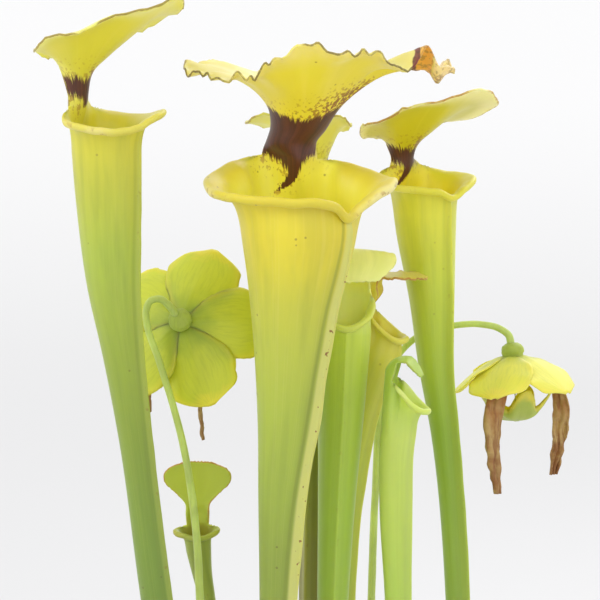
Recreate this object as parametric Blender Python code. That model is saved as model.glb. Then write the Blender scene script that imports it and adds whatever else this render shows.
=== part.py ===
"""A potted yellow pitcher plant: eight trumpet pitchers and two nodding flowers, in a plain round pot.

Metres, +Z up. The origin is the centre of the pot's flat foot. The plant's front, where the tallest
open pitcher shows its mouth, faces -Y. Azimuths are measured in the horizontal plane from -Y, the
front, and grow towards +X, the right.
"""

import math

import bmesh
import bpy
import numpy as np

# Pot
POT_HEIGHT = 0.140
POT_FOOT_RADIUS = 0.064
POT_TOP_RADIUS = 0.083
POT_WALL = 0.0022
POT_FLOOR = 0.0030
POT_BAND_HEIGHT = 0.017
POT_BAND_PROUD = 0.0035
POT_SIDES = 32
DRAIN_HOLES = 6
DRAIN_HOLE_RADIUS = 0.005
DRAIN_CIRCLE_RADIUS = 0.042

# Potting mix
SOIL_TOP = 0.128
SOIL_SWELL = 0.0016

# Clearance between pieces that rest on or stand in each other
FIT = 0.0003

# Leaf tissue
LEAF_WALL = 0.0010
SEPAL_WALL = 0.0009
PETAL_WALL = 0.0008
LEAF_FOOT = SOIL_TOP - 0.0075

# The wing that runs down the front of each pitcher, and how far above the mix it starts
WING_HALF_WIDTH = 0.0019
WING_START = 0.012

# Rhizome: middle lines as (x, y, z, radius), the main limb and the side limbs
RHIZOME_MAIN = (
    (-0.066, -0.026, 0.1215, 0.0050), (-0.054, -0.021, 0.1230, 0.0092), (-0.042, -0.016, 0.1222, 0.0096),
    (-0.030, -0.012, 0.1232, 0.0110), (-0.014, -0.006, 0.1220, 0.0096), (0.001, 0.001, 0.1232, 0.0112),
    (0.015, 0.009, 0.1218, 0.0098), (0.028, 0.016, 0.1228, 0.0106), (0.042, 0.024, 0.1218, 0.0088),
    (0.054, 0.030, 0.1228, 0.0092), (0.066, 0.036, 0.1215, 0.0050),
)
RHIZOME_SIDES = (
    ((-0.034, -0.012, 0.1215, 0.0085), (-0.043, 0.005, 0.1226, 0.0087), (-0.049, 0.019, 0.1215, 0.0056)),
    ((0.002, 0.006, 0.1215, 0.0088), (-0.009, 0.024, 0.1226, 0.0088), (-0.016, 0.037, 0.1215, 0.0056)),
    ((0.022, 0.014, 0.1215, 0.0085), (0.016, 0.036, 0.1226, 0.0090), (0.015, 0.058, 0.1216, 0.0064)),
    ((0.014, 0.008, 0.1215, 0.0085), (0.029, -0.005, 0.1226, 0.0087), (0.038, -0.014, 0.1215, 0.0056)),
)

# Key sections of the sheet that rises behind a mouth, in mouth radii above the mouth's centre:
#   post: rise, radius, half angle, back, side - a round post open at the back
#   wall: rise, radius, half angle, back, side - the tube's own back wall carried on upwards
#   span: forward, rise, half width, arch, sweep - a strip from side to side
#   hood: share of the way from the post to the hood's margin
# Rims and hoods are (azimuth from the pitcher's own front, reach, rise), also in mouth radii.
OPEN_RIM = (
    (-180, 0.64, 0.40), (-160, 0.76, 0.42), (-138, 1.10, 0.46), (-118, 1.42, 0.24), (-92, 1.62, 0.10),
    (-60, 1.50, 0.00), (-26, 1.30, -0.10), (0, 1.24, -0.30), (26, 1.32, -0.06), (60, 1.56, 0.14),
    (92, 1.62, 0.18), (118, 1.42, 0.26), (138, 1.10, 0.46), (160, 0.76, 0.42), (180, 0.64, 0.40),
)
LEFT_RIM = (
    (-180, 0.64, 0.34), (-160, 0.76, 0.36), (-140, 1.08, 0.38), (-118, 1.38, 0.16), (-92, 1.50, 0.02),
    (-60, 1.38, -0.10), (-26, 1.48, -0.02), (0, 1.70, 0.30), (26, 1.62, 0.34), (60, 1.50, 0.16),
    (92, 1.52, 0.12), (118, 1.38, 0.22), (140, 1.08, 0.38), (160, 0.76, 0.36), (180, 0.64, 0.34),
)
OPEN_HOOD = (
    (-150, 1.15, 1.66), (-125, 1.75, 1.70), (-95, 2.10, 1.84), (-62, 2.20, 1.96), (-30, 2.30, 2.28),
    (0, 2.50, 2.60), (30, 2.35, 2.32), (62, 2.20, 1.96), (95, 2.10, 1.84), (125, 1.75, 1.70),
    (150, 1.15, 1.66),
)
LEFT_BACK = (
    ("post", 0.86, 0.39, 92, 1.00, 0.0), ("post", 1.34, 0.45, 116, 0.95, 0.0),
    ("hood", 0.14), ("hood", 0.45), ("hood", 0.76), ("hood", 1.0),
)
OPEN_BACK = (
    ("post", 0.76, 0.39, 92, 1.00, 0.0), ("post", 1.06, 0.45, 116, 0.95, 0.0),
    ("hood", 0.14), ("hood", 0.45), ("hood", 0.76), ("hood", 1.0),
)

# The tallest open pitcher, in metres
MAIN_RIM = (
    (-180, 0.0158, 0.0105), (-166, 0.0195, 0.0118), (-154, 0.0290, 0.0122), (-137, 0.0325, 0.0108),
    (-118, 0.0345, 0.0082), (-102, 0.0385, 0.0050), (-88, 0.0400, 0.0030), (-70, 0.0385, -0.0002),
    (-48, 0.0345, -0.0016), (-18, 0.0300, -0.0024), (20, 0.0298, -0.0036), (38, 0.0290, -0.0060),
    (53, 0.0288, -0.0110), (66, 0.0330, -0.0050), (80, 0.0395, 0.0000), (92, 0.0430, 0.0024),
    (108, 0.0415, 0.0034), (124, 0.0360, 0.0060), (137, 0.0320, 0.0082), (154, 0.0275, 0.0100),
    (166, 0.0195, 0.0102), (180, 0.0158, 0.0105),
)
MAIN_HOOD = (
    (-150, 0.028, 0.0470), (-140, 0.037, 0.0475), (-125, 0.045, 0.0500), (-113, 0.0485, 0.0545),
    (-103, 0.0520, 0.0515), (-90, 0.0550, 0.0540), (-78, 0.0550, 0.0490), (-66, 0.0510, 0.0510),
    (-55, 0.0485, 0.0475), (-44, 0.0460, 0.0495), (-33, 0.0465, 0.0490), (-20, 0.0500, 0.0545),
    (-9, 0.0525, 0.0610), (3, 0.0540, 0.0645), (13, 0.0540, 0.0610), (22, 0.0535, 0.0590),
    (34, 0.0540, 0.0620), (46, 0.0545, 0.0540), (57, 0.0560, 0.0525), (68, 0.0590, 0.0615),
    (80, 0.0680, 0.0500), (91, 0.0630, 0.0560), (104, 0.0550, 0.0500), (118, 0.0475, 0.0530),
    (134, 0.0390, 0.0480), (150, 0.0300, 0.0470),
)
MAIN_BACK = (
    ("post", 0.0175, 0.0112, 88, 0.0272, -0.0028), ("post", 0.0235, 0.0124, 100, 0.0268, 0.0004),
    ("post", 0.0295, 0.0142, 118, 0.0262, 0.0022),
    ("hood", 0.12), ("hood", 0.40), ("hood", 0.72), ("hood", 1.0),
)

# Young and small pitchers
VISOR_RIM = (
    (-180, 0.96, 1.05), (-140, 0.97, 1.00), (-105, 1.00, 0.85), (-80, 1.04, 0.50), (-45, 1.08, 0.08),
    (0, 1.08, -0.25), (45, 1.08, 0.08), (80, 1.04, 0.50), (105, 1.00, 0.85), (140, 0.97, 1.00),
    (180, 0.96, 1.05),
)
VISOR_BACK = (
    ("wall", 1.55, 0.93, 76, 0.04, 0.0), ("span", -0.62, 2.15, 1.10, 0.20, 0.45),
    ("span", 0.05, 2.35, 1.75, 0.12, 0.10), ("span", 0.70, 2.00, 1.85, 0.10, -0.15),
    ("span", 1.20, 1.42, 1.15, 0.0, -0.30),
)
TALL_RIM = (
    (-180, 0.74, 1.75), (-150, 0.84, 1.72), (-125, 0.98, 1.50), (-95, 1.08, 0.90), (-55, 1.15, 0.26),
    (0, 1.16, 0.12), (55, 1.15, 0.26), (95, 1.08, 0.90), (125, 0.98, 1.50), (150, 0.84, 1.72),
    (180, 0.74, 1.75),
)
TALL_BACK = (
    ("wall", 2.20, 0.88, 86, 0.02, 0.0), ("wall", 2.66, 0.84, 80, -0.02, 0.0),
    ("span", -0.10, 3.02, 1.00, 0.0, 0.15), ("span", 0.80, 3.12, 1.25, 0.0, 0.0),
    ("span", 1.65, 3.10, 0.98, 0.0, -0.10), ("span", 2.20, 3.02, 0.45, 0.0, -0.15),
)
BEAK_RIM = (
    (-180, 0.92, 2.10), (-150, 0.94, 2.06), (-115, 0.98, 1.90), (-80, 1.04, 1.35), (-48, 1.22, 0.62),
    (-22, 1.46, 0.22), (0, 1.62, 0.14), (22, 1.46, 0.22), (48, 1.22, 0.62), (80, 1.04, 1.35),
    (115, 0.98, 1.90), (150, 0.94, 2.06), (180, 0.92, 2.10),
)
BEAK_BACK = (
    ("wall", 2.55, 0.86, 76, 0.0, 0.0), ("span", -0.30, 3.00, 0.82, 0.12, 0.20),
    ("span", 0.40, 3.05, 1.00, 0.15, 0.0), ("span", 1.00, 2.62, 0.92, 0.0, -0.15),
    ("span", 1.28, 2.15, 0.45, 0.0, -0.10),
)
SMALL_RIM = (
    (-180, 0.85, 0.60), (-150, 0.88, 0.55), (-120, 1.08, 0.35), (-95, 1.75, 0.10), (-55, 1.12, -0.15),
    (0, 1.10, -0.25), (55, 1.12, -0.15), (95, 1.60, 0.25), (120, 1.08, 0.42), (150, 0.88, 0.55),
    (180, 0.85, 0.60),
)
SMALL_BACK = (
    ("wall", 1.30, 0.95, 70, 0.0, 0.0), ("span", -0.80, 2.10, 0.98, 0.0, 0.22),
    ("span", -0.78, 2.95, 1.75, 0.0, 0.10), ("span", -0.62, 4.05, 2.70, 0.0, 0.12),
    ("span", -0.45, 5.05, 2.35, 0.10, 0.12), ("span", -0.35, 5.55, 1.20, 0.10, 0.05),
)

# Every pitcher: its spine as (x, y, z, radius) from the rhizome to the mouth, which way it faces,
# where its wing runs, the shape of its mouth and hood, and how finely it is divided.
PITCHERS = {
    "pitcher_main": dict(
        spine=(
            (-0.0310, -0.0125, LEAF_FOOT, 0.0042), (-0.0305, -0.0130, 0.180, 0.0044),
            (-0.0290, -0.0150, 0.270, 0.0052), (-0.0270, -0.0170, 0.356, 0.0069),
            (-0.0249, -0.0190, 0.404, 0.0095), (-0.0217, -0.0215, 0.4415, 0.0129),
            (-0.0198, -0.0230, 0.4695, 0.0160), (-0.0182, -0.0242, 0.4950, 0.0196),
            (-0.0168, -0.0250, 0.5116, 0.0228), (-0.0162, -0.0250, 0.5221, 0.0249),
            (-0.0170, -0.0250, 0.5480, 0.0275),
        ),
        yaw=0, wing_at=54, wing_height=0.0052, neck_drop=0.022, lip_roll=0.0017, unit=1.0,
        rim=MAIN_RIM, seam=(160, 150), back=MAIN_BACK, hood=MAIN_HOOD, axis=(0.0255, 0.0038),
        hood_foot=(0.0335, 0.0160), tilt=0.0, lift=0.0, skew=(0.0, 0), ruffle=(0.0006, 17),
        around=26, rows=9, lip_rows=6, back_rows=10, doublings=(1, 3, 6),
    ),
    "pitcher_left": dict(
        spine=(
            (-0.0520, -0.0200, LEAF_FOOT, 0.0040), (-0.0560, -0.0205, 0.180, 0.0044),
            (-0.0690, -0.0225, 0.270, 0.0054), (-0.0815, -0.0260, 0.3585, 0.0064),
            (-0.0902, -0.0320, 0.4343, 0.0068), (-0.0954, -0.0360, 0.4760, 0.0088),
            (-0.0986, -0.0380, 0.5030, 0.0112), (-0.1005, -0.0400, 0.5450, 0.0142),
            (-0.1015, -0.0400, 0.5780, 0.0155),
        ),
        yaw=66, wing_at=0, wing_height=0.0035, neck_drop=0.013, lip_roll=0.0012, unit=0.0155,
        rim=LEFT_RIM, seam=(140, 140), back=LEFT_BACK, hood=OPEN_HOOD,
        axis=(0.86, 0.0), hood_foot=(1.58, 0.54),
        tilt=0.40, lift=0.52, skew=(0.26, 20), ruffle=(0.0011, 8),
        around=18, rows=8, lip_rows=5, back_rows=6, doublings=(1, 3),
    ),
    "pitcher_right": dict(
        spine=(
            (0.0530, 0.0290, LEAF_FOOT, 0.0040), (0.0565, 0.0320, 0.180, 0.0042),
            (0.0600, 0.0380, 0.265, 0.0044), (0.0595, 0.0430, 0.343, 0.0049),
            (0.0530, 0.0480, 0.4248, 0.0062), (0.0492, 0.0500, 0.4534, 0.0078),
            (0.0470, 0.0510, 0.4869, 0.0104), (0.0440, 0.0520, 0.5202, 0.0140),
            (0.0430, 0.0520, 0.5420, 0.0156),
        ),
        yaw=44, wing_at=0, wing_height=0.0035, neck_drop=0.014, lip_roll=0.0012, unit=0.0156,
        rim=OPEN_RIM, seam=(140, 140), back=OPEN_BACK, hood=OPEN_HOOD,
        axis=(0.86, 0.0), hood_foot=(1.22, 0.54),
        tilt=0.38, lift=-0.08, skew=(0.26, 50), ruffle=(0.0009, 7),
        around=18, rows=8, lip_rows=5, back_rows=6, doublings=(1, 3),
    ),
    "pitcher_behind": dict(
        spine=(
            (-0.0120, 0.0290, LEAF_FOOT, 0.0036), (-0.0125, 0.0295, 0.230, 0.0038),
            (-0.0117, 0.0320, 0.3446, 0.0042), (-0.0105, 0.0370, 0.4163, 0.0054),
            (-0.0100, 0.0430, 0.4875, 0.0084), (-0.0110, 0.0460, 0.5250, 0.0112),
            (-0.0110, 0.0470, 0.5400, 0.0118),
        ),
        yaw=-14, wing_at=0, wing_height=0.0028, neck_drop=0.011, lip_roll=0.0011, unit=0.0118,
        rim=OPEN_RIM, seam=(140, 140), back=OPEN_BACK, hood=OPEN_HOOD,
        axis=(0.86, 0.0), hood_foot=(1.26, 0.56),
        tilt=0.15, lift=0.62, skew=(0.30, -70), ruffle=(0.0008, 8),
        around=16, rows=6, lip_rows=4, back_rows=5, doublings=(1, 3),
    ),
    "pitcher_young_front": dict(
        spine=(
            (0.0020, 0.0010, LEAF_FOOT, 0.0042), (0.0000, 0.0015, 0.230, 0.0054),
            (-0.0004, 0.0040, 0.3521, 0.0068), (0.0014, 0.0070, 0.3991, 0.0084),
            (0.0036, 0.0090, 0.4460, 0.0106), (0.0046, 0.0100, 0.4740, 0.0120),
            (0.0050, 0.0105, 0.4842, 0.0122),
        ),
        yaw=4, wing_at=0, wing_height=0.0022, neck_drop=0.008, lip_roll=0.0012, unit=0.0124,
        rim=VISOR_RIM, seam=(104, 104), back=VISOR_BACK, hood=None, axis=None, tilt=0.0,
        skew=(0.0, 0), ruffle=(0.0, 0), around=16, rows=6, lip_rows=4, back_rows=5, doublings=(2,),
    ),
    "pitcher_yellow": dict(
        spine=(
            (0.0155, 0.0330, LEAF_FOOT, 0.0036), (0.0090, 0.0310, 0.230, 0.0044),
            (0.0035, 0.0300, 0.3461, 0.0048), (0.0066, 0.0300, 0.3944, 0.0056),
            (0.0145, 0.0305, 0.4423, 0.0076), (0.0205, 0.0310, 0.4620, 0.0094),
            (0.0228, 0.0310, 0.4700, 0.0098),
        ),
        yaw=80, wing_at=0, wing_height=0.0020, neck_drop=0.008, lip_roll=0.0011, unit=0.0098,
        rim=TALL_RIM, seam=(125, 125), back=TALL_BACK, hood=None, axis=None, tilt=0.0,
        skew=(0.0, 0), ruffle=(0.0, 0), around=14, rows=6, lip_rows=4, back_rows=7, doublings=(3,),
    ),
    "pitcher_young_right": dict(
        spine=(
            (0.0300, -0.0060, LEAF_FOOT, 0.0038), (0.0305, -0.0050, 0.230, 0.0044),
            (0.0291, -0.0020, 0.3526, 0.0050), (0.0280, 0.0000, 0.3995, 0.0066),
            (0.0288, 0.0020, 0.4280, 0.0071), (0.0310, 0.0025, 0.4410, 0.0078),
        ),
        yaw=78, wing_at=0, wing_height=0.0018, neck_drop=0.012, lip_roll=0.0010, unit=0.0078,
        rim=BEAK_RIM, seam=(114, 114), back=BEAK_BACK, hood=None, axis=None, tilt=0.0,
        skew=(0.0, 0), ruffle=(0.0, 0), around=14, rows=5, lip_rows=5, back_rows=6, doublings=(3,),
    ),
    "pitcher_small": dict(
        spine=(
            (-0.0460, 0.0120, LEAF_FOOT, 0.0030), (-0.0520, 0.0105, 0.230, 0.0030),
            (-0.0591, 0.0080, 0.3501, 0.0034), (-0.0618, 0.0080, 0.3644, 0.0044),
            (-0.0633, 0.0080, 0.3760, 0.0056), (-0.0636, 0.0080, 0.3830, 0.0058),
        ),
        yaw=0, wing_at=0, wing_height=0.0012, neck_drop=0.006, lip_roll=0.0009, unit=0.0058,
        rim=SMALL_RIM, seam=(120, 120), back=SMALL_BACK, hood=None, axis=None, tilt=0.0,
        skew=(0.0, 0), ruffle=(0.0, 0), around=14, rows=5, lip_rows=4, back_rows=7, doublings=(3,),
    ),
}

# Flowers: scape as (x, y, z, radius) from the rhizome to the bloom, the bloom's facing and its sepals'
# first angle round it, sepal (length, half width, bend), the umbrella's radius, and the withered petals as
# (sepal they hang behind, reach before they hang, length hanging, half width).
FLOWERS = {
    "left": dict(
        scape=(
            (-0.0430, -0.0020, LEAF_FOOT, 0.0021), (-0.0500, -0.0035, 0.230, 0.0020),
            (-0.0621, -0.0050, 0.3533, 0.0019), (-0.0634, -0.0050, 0.3808, 0.0018),
            (-0.0700, -0.0050, 0.4287, 0.0017), (-0.0805, -0.0045, 0.4660, 0.0016),
            (-0.0857, -0.0040, 0.4821, 0.0016), (-0.0862, -0.0035, 0.4885, 0.0016),
            (-0.0842, -0.0030, 0.4930, 0.0016), (-0.0800, -0.0020, 0.4938, 0.0016),
            (-0.0754, 0.0000, 0.4900, 0.0017), (-0.0726, 0.0020, 0.4858, 0.0018),
        ),
        facing=(0.22, 0.87, -0.44), turn=102, sepal=(0.0370, 0.0172, 0.30), umbrella=0.0210,
        petals=((2, 0.0240, 0.0300, 0.0024), (3, 0.0230, 0.0260, 0.0024)),
    ),
    "right": dict(
        scape=(
            (0.0155, 0.0500, LEAF_FOOT, 0.0021), (0.0165, 0.0520, 0.230, 0.0020),
            (0.0190, 0.0570, 0.3416, 0.0019), (0.0208, 0.0620, 0.3902, 0.0018),
            (0.0250, 0.0660, 0.4384, 0.0017), (0.0310, 0.0700, 0.4550, 0.0016),
            (0.0430, 0.0725, 0.4660, 0.0016), (0.0570, 0.0730, 0.4700, 0.0016),
            (0.0720, 0.0725, 0.4710, 0.0016), (0.0810, 0.0718, 0.4690, 0.0017),
            (0.0855, 0.0712, 0.4655, 0.0018), (0.0865, 0.0708, 0.4615, 0.0019),
        ),
        facing=(0.06, -0.10, -0.99), turn=4, sepal=(0.0285, 0.0155, 0.62), umbrella=0.0195,
        petals=((4, 0.0250, 0.0480, 0.0046), (2, 0.0250, 0.0440, 0.0040)),
    ),
}


def clear_scene():
    for obj in list(bpy.data.objects):
        bpy.data.objects.remove(obj)


def smooth_through(keys, where):
    """Values at the places in where, on a smooth curve through keys, whose first column is the place."""
    keys = np.asarray(keys, float)
    x, y = keys[:, 0], keys[:, 1:]
    slope = np.gradient(y, x, axis=0)
    where = np.clip(np.asarray(where, float), x[0], x[-1])
    i = np.clip(np.searchsorted(x, where, side="right") - 1, 0, len(x) - 2)
    span = (x[i + 1] - x[i])[:, None]
    s = ((where - x[i]) / span[:, 0])[:, None]
    return (
        y[i] * (1 + 2 * s) * (1 - s) ** 2
        + slope[i] * span * s * (1 - s) ** 2
        + y[i + 1] * s * s * (3 - 2 * s)
        + slope[i + 1] * span * s * s * (s - 1)
    )


def smooth_step(x):
    x = np.clip(x, 0.0, 1.0)
    return x * x * (3 - 2 * x)


def compass(azimuth):
    """Unit vectors in the horizontal plane at these azimuths."""
    azimuth = np.asarray(azimuth, float)
    return np.stack([np.sin(azimuth), -np.cos(azimuth), np.zeros_like(azimuth)], axis=-1)


UP = np.array([0.0, 0.0, 1.0])


class Pitcher:
    """The middle surface of one pitcher leaf: tube, flared lip, column and hood, as one sheet."""

    def __init__(self, spec):
        self.spec = spec
        self.spine = np.asarray(spec["spine"], float)[:, [2, 0, 1, 3]]
        self.mouth = np.asarray(spec["spine"][-1][:3], float)
        self.neck_z = self.mouth[2] - spec["neck_drop"]
        self.yaw = math.radians(spec["yaw"])
        unit = spec["unit"]
        self.rim_keys = np.asarray(spec["rim"], float) * (1, unit, unit)
        self.forward = compass(self.yaw)
        self.right = compass(self.yaw + math.pi / 2)
        if spec["hood"]:
            self.hood_keys = self.shaped_hood(np.asarray(spec["hood"], float) * (1, unit, unit))
            angle, rise = self.hood_keys[:, 0], self.hood_keys[:, 2]
            calm = [np.average(rise, weights=np.exp(-(((angle - a) / 26.0) ** 2))) for a in angle]
            self.calm_keys = np.stack([angle, calm], axis=1)

    def shaped_hood(self, keys):
        """The hood's margin, raised towards the front by the tilt and drawn out by the skew."""
        amount, towards = self.spec["skew"]
        turn = np.radians(keys[:, 0])
        keys[:, 1] *= 1 + amount * np.cos(turn - math.radians(towards))
        keys[:, 2] += (self.spec["lift"] + self.spec["tilt"] * np.cos(turn)) * self.spec["unit"]
        return keys

    def round(self, azimuth):
        """Outward directions at azimuths measured from the pitcher's own front."""
        return compass(np.asarray(azimuth, float) + self.yaw)

    def ring_azimuths(self, radius):
        """Azimuths of the points round the tube: the wing's edge first, then evenly round."""
        around = self.spec["around"]
        half = min(WING_HALF_WIDTH / radius, 0.7 * 2 * math.pi / around)
        rest = half + np.arange(around + 1) / around * 2 * (math.pi - half)
        return math.radians(self.spec["wing_at"]) + np.concatenate([[0.0], rest])

    def tube_ring(self, z):
        x, y, radius = smooth_through(self.spine, [z])[0]
        azimuth = self.ring_azimuths(radius)
        reach = np.full(len(azimuth), radius)
        grown = smooth_step((z - SOIL_TOP - WING_START) / 0.05)
        grown *= 1 - 0.25 * smooth_step((z - self.neck_z + 0.05) / 0.05)
        reach[0] += self.spec["wing_height"] * grown
        return np.array([x, y, z]) + self.round(azimuth) * reach[:, None]

    def rim_at(self, azimuth):
        """Points of the rim's crest, and outward directions there."""
        wrapped = (np.degrees(azimuth) + 180) % 360 - 180
        reach, rise = smooth_through(self.rim_keys, wrapped).T
        out = self.round(azimuth)
        return self.mouth + out * reach[:, None] + UP * rise[:, None], out

    def section(self, row, t):
        """One key section of the sheet behind the mouth, t from -1 at its right edge to 1 at its left."""
        kind, *values = row
        unit = self.spec["unit"]
        t = np.asarray(t, float)
        if kind == "hood":
            return self.hood_section(values[0], t)
        if kind == "span":
            forward, rise, half_width, arch, sweep = (v * unit for v in values)
            return (
                self.mouth
                + self.forward * (forward + sweep * t**2)[:, None]
                - self.right * (t * half_width)[:, None]
                + UP * (rise + arch * (1 - t**2))[:, None]
            )
        rise, radius, half_angle, back, side = values
        centre = self.mouth + (UP * rise - self.forward * back + self.right * side) * unit
        azimuth = np.radians(t * half_angle)
        azimuth = -azimuth if kind == "post" else math.pi + azimuth
        return centre + self.round(azimuth) * radius * unit

    def hood_section(self, share, t):
        unit = self.spec["unit"]
        angle = -t * 150.0
        reach, rise = smooth_through(self.hood_keys, angle).T
        calm = smooth_through(self.calm_keys, angle)[:, 0]
        height, count = self.spec["ruffle"]
        rise = rise + height * np.sin(np.radians(angle) * count + 0.7)
        top_rise, top_radius = (v * unit for v in self.spec["hood_foot"])
        steep = 3.0 - 1.9 * np.exp(-((angle / 42.0) ** 2))
        climb = 1 - (1 - share) ** steep
        lift = top_rise + (calm - top_rise) * climb + (rise - calm) * share**2
        out = top_radius + (reach - top_radius) * share
        back, side = (v * unit for v in self.spec["axis"])
        centre = self.mouth - self.forward * back + self.right * side
        return centre + self.round(np.radians(angle)) * out[:, None] + UP * lift[:, None]

    def neck_at(self, azimuth):
        x, y, radius = smooth_through(self.spine, [self.neck_z])[0]
        return np.array([x, y, self.neck_z]) + self.round(azimuth) * radius

    def tube(self, bm):
        """The tube from its closed foot to the neck. Returns the neck's ring and the one below."""
        spec = self.spec
        foot_z, clear_z = self.spine[0, 0], SOIL_TOP + WING_START
        above = clear_z + (self.neck_z - clear_z) * np.linspace(0, 1, spec["rows"]) ** 0.8
        ring_z = np.concatenate([[foot_z], above])
        rings = [[bm.verts.new(p) for p in self.tube_ring(z)] for z in ring_z]
        count = len(rings[0])
        foot = bm.verts.new(np.mean([v.co for v in rings[0]], axis=0))
        for j in range(count):
            bm.faces.new((foot, rings[0][(j + 1) % count], rings[0][j]))
        for lower, upper in zip(rings[:-1], rings[1:]):
            join_rows(bm, lower, upper, closed=True)
        return rings[-1], rings[-2]

    def lip(self, bm, ring, below):
        """The flared and rolled lip, and at the back the start of the sheet that rises behind the mouth."""
        spec = self.spec
        radius = smooth_through(self.spine, [self.neck_z])[0][2]
        azimuth = self.ring_azimuths(radius)
        seam_right, seam_left = np.radians(spec["seam"])
        first = int(np.argmin(np.abs(azimuth - seam_right)))
        last = int(np.argmin(np.abs(azimuth - (2 * math.pi - seam_left))))
        start, end = azimuth[first], azimuth[last]
        t = np.clip(2 * (azimuth - start) / (end - start) - 1, -1, 1)
        away = np.where(azimuth < start, start - azimuth, azimuth - end)
        away = np.minimum(np.clip(away, 0, None), np.clip(azimuth + 2 * math.pi - end, 0, None))
        lip = smooth_step(away / math.radians(30))[:, None]
        crest, out = self.rim_at(azimuth)
        neck = np.array([v.co for v in ring])
        leaving = unit_rows(neck - np.array([v.co for v in below]))
        rising = unit_rows(self.section(spec["back"][0], t) - neck)
        outward = out * 0.97 + UP * 0.24
        reach = np.linalg.norm(crest - neck, axis=1)[:, None]
        p1 = neck + leaving * spec["neck_drop"] * 0.45
        p2 = crest - (outward * lip * 0.42 + rising * (1 - lip) * 0.33) * reach
        flare_end = 1 - 0.36 * lip
        roll = spec["lip_roll"] * lip
        row = ring
        for k in range(1, spec["lip_rows"] + 1):
            f = k / spec["lip_rows"]
            g = np.minimum(f / flare_end, 1.0)
            point = neck * (1 - g) ** 3 + p1 * 3 * g * (1 - g) ** 2
            point += p2 * 3 * g * g * (1 - g) + crest * g**3
            turn = np.clip((f - flare_end) / np.maximum(1 - flare_end, 1e-6), 0, 1) * math.radians(175)
            point = point + roll * (np.sin(turn) * outward - (1 - np.cos(turn)) * UP)
            upper = [bm.verts.new(p) for p in point]
            join_rows(bm, row, upper, closed=True)
            row = upper
        return row[first : last + 1], start, end

    def back(self, bm, row, start, end):
        """The column and the hood, from the back of the rim to the hood's margin."""
        segments = len(row) - 1
        rows = self.spec["back_rows"]

        def sections(t):
            azimuth = start + (t + 1) / 2 * (end - start)
            keys = [self.neck_at(azimuth), self.rim_at(azimuth)[0]]
            return np.stack(keys + [self.section(key, t) for key in self.spec["back"]])

        gaps = np.linalg.norm(np.diff(sections(np.array([-0.6, 0.0, 0.6])), axis=0), axis=2).mean(axis=1)
        knots = np.concatenate([[0.0], np.cumsum(gaps)])
        for k in range(1, rows + 1):
            if k in self.spec["doublings"]:
                segments *= 2
            keys = sections(np.linspace(-1, 1, segments + 1))
            table = np.concatenate([knots[:, None], keys.reshape(len(knots), -1)], axis=1)
            along = knots[1] + (knots[-1] - knots[1]) * k / rows
            upper = [bm.verts.new(p) for p in smooth_through(table, [along])[0].reshape(-1, 3)]
            join_rows(bm, row, upper, closed=False)
            row = upper

    def sheet(self):
        bm = bmesh.new()
        ring, below = self.tube(bm)
        row, start, end = self.lip(bm, ring, below)
        self.back(bm, row, start, end)
        return bm


def unit_rows(rows):
    return rows / np.linalg.norm(rows, axis=1)[:, None]


def join_rows(bm, lower, upper, closed):
    """Triangles between two rows of points. The upper row may have twice as many segments."""
    n = len(lower)
    segments = n if closed else n - 1
    double = len(upper) == 2 * n - 1
    for j in range(segments):
        a, b = lower[j], lower[(j + 1) % n]
        if double:
            c, m, d = upper[2 * j], upper[2 * j + 1], upper[2 * j + 2]
            bm.faces.new((a, m, c))
            bm.faces.new((a, b, m))
            bm.faces.new((b, d, m))
            continue
        c, d = upper[j], upper[(j + 1) % n]
        if closed or j < segments / 2:
            bm.faces.new((a, b, d))
            bm.faces.new((a, d, c))
        else:
            bm.faces.new((a, b, c))
            bm.faces.new((b, d, c))


def frames_along(points):
    """Directions along a line of points, and two directions across it that turn as little as possible."""
    along = unit_rows(np.gradient(points, axis=0))
    across = np.zeros_like(along)
    start = np.cross(along[0], (0.0, 1.0, 0.0))
    across[0] = start / np.linalg.norm(start)
    for i in range(1, len(points)):
        step = across[i - 1] - along[i] * np.dot(across[i - 1], along[i])
        across[i] = step / np.linalg.norm(step)
    return along, across, np.cross(along, across)


def add_rod(bm, line, sides, extra=0.0, parts=1):
    """A closed rod along a line of (x, y, z, radius), grown all over by extra, each stretch in parts."""
    line = np.asarray(line, float)
    if parts > 1:
        place = np.concatenate([[0.0], np.cumsum(np.linalg.norm(np.diff(line[:, :3], axis=0), axis=1))])
        finer = np.interp(np.arange((len(line) - 1) * parts + 1) / parts, np.arange(len(line)), place)
        line = smooth_through(np.column_stack([place, line]), finer)
    points, radius = line[:, :3].copy(), line[:, 3] + extra
    along, across, up = frames_along(points)
    points[0] -= along[0] * extra
    points[-1] += along[-1] * extra
    turn = np.arange(sides) / sides * 2 * math.pi
    rings = []
    for p, r, a, b in zip(points, radius, across, up):
        ring = p + r * (np.cos(turn)[:, None] * a + np.sin(turn)[:, None] * b)
        rings.append([bm.verts.new(q) for q in ring])
    for lower, upper in zip(rings[:-1], rings[1:]):
        join_rows(bm, lower, upper, closed=True)
    bm.faces.new(rings[0][::-1])
    bm.faces.new(rings[-1])


def strip(bm, rows):
    """A sheet through rows of points, each with the same number."""
    previous = None
    for row in rows:
        made = [bm.verts.new(p) for p in row]
        if previous:
            join_rows(bm, previous, made, closed=False)
        previous = made


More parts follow.
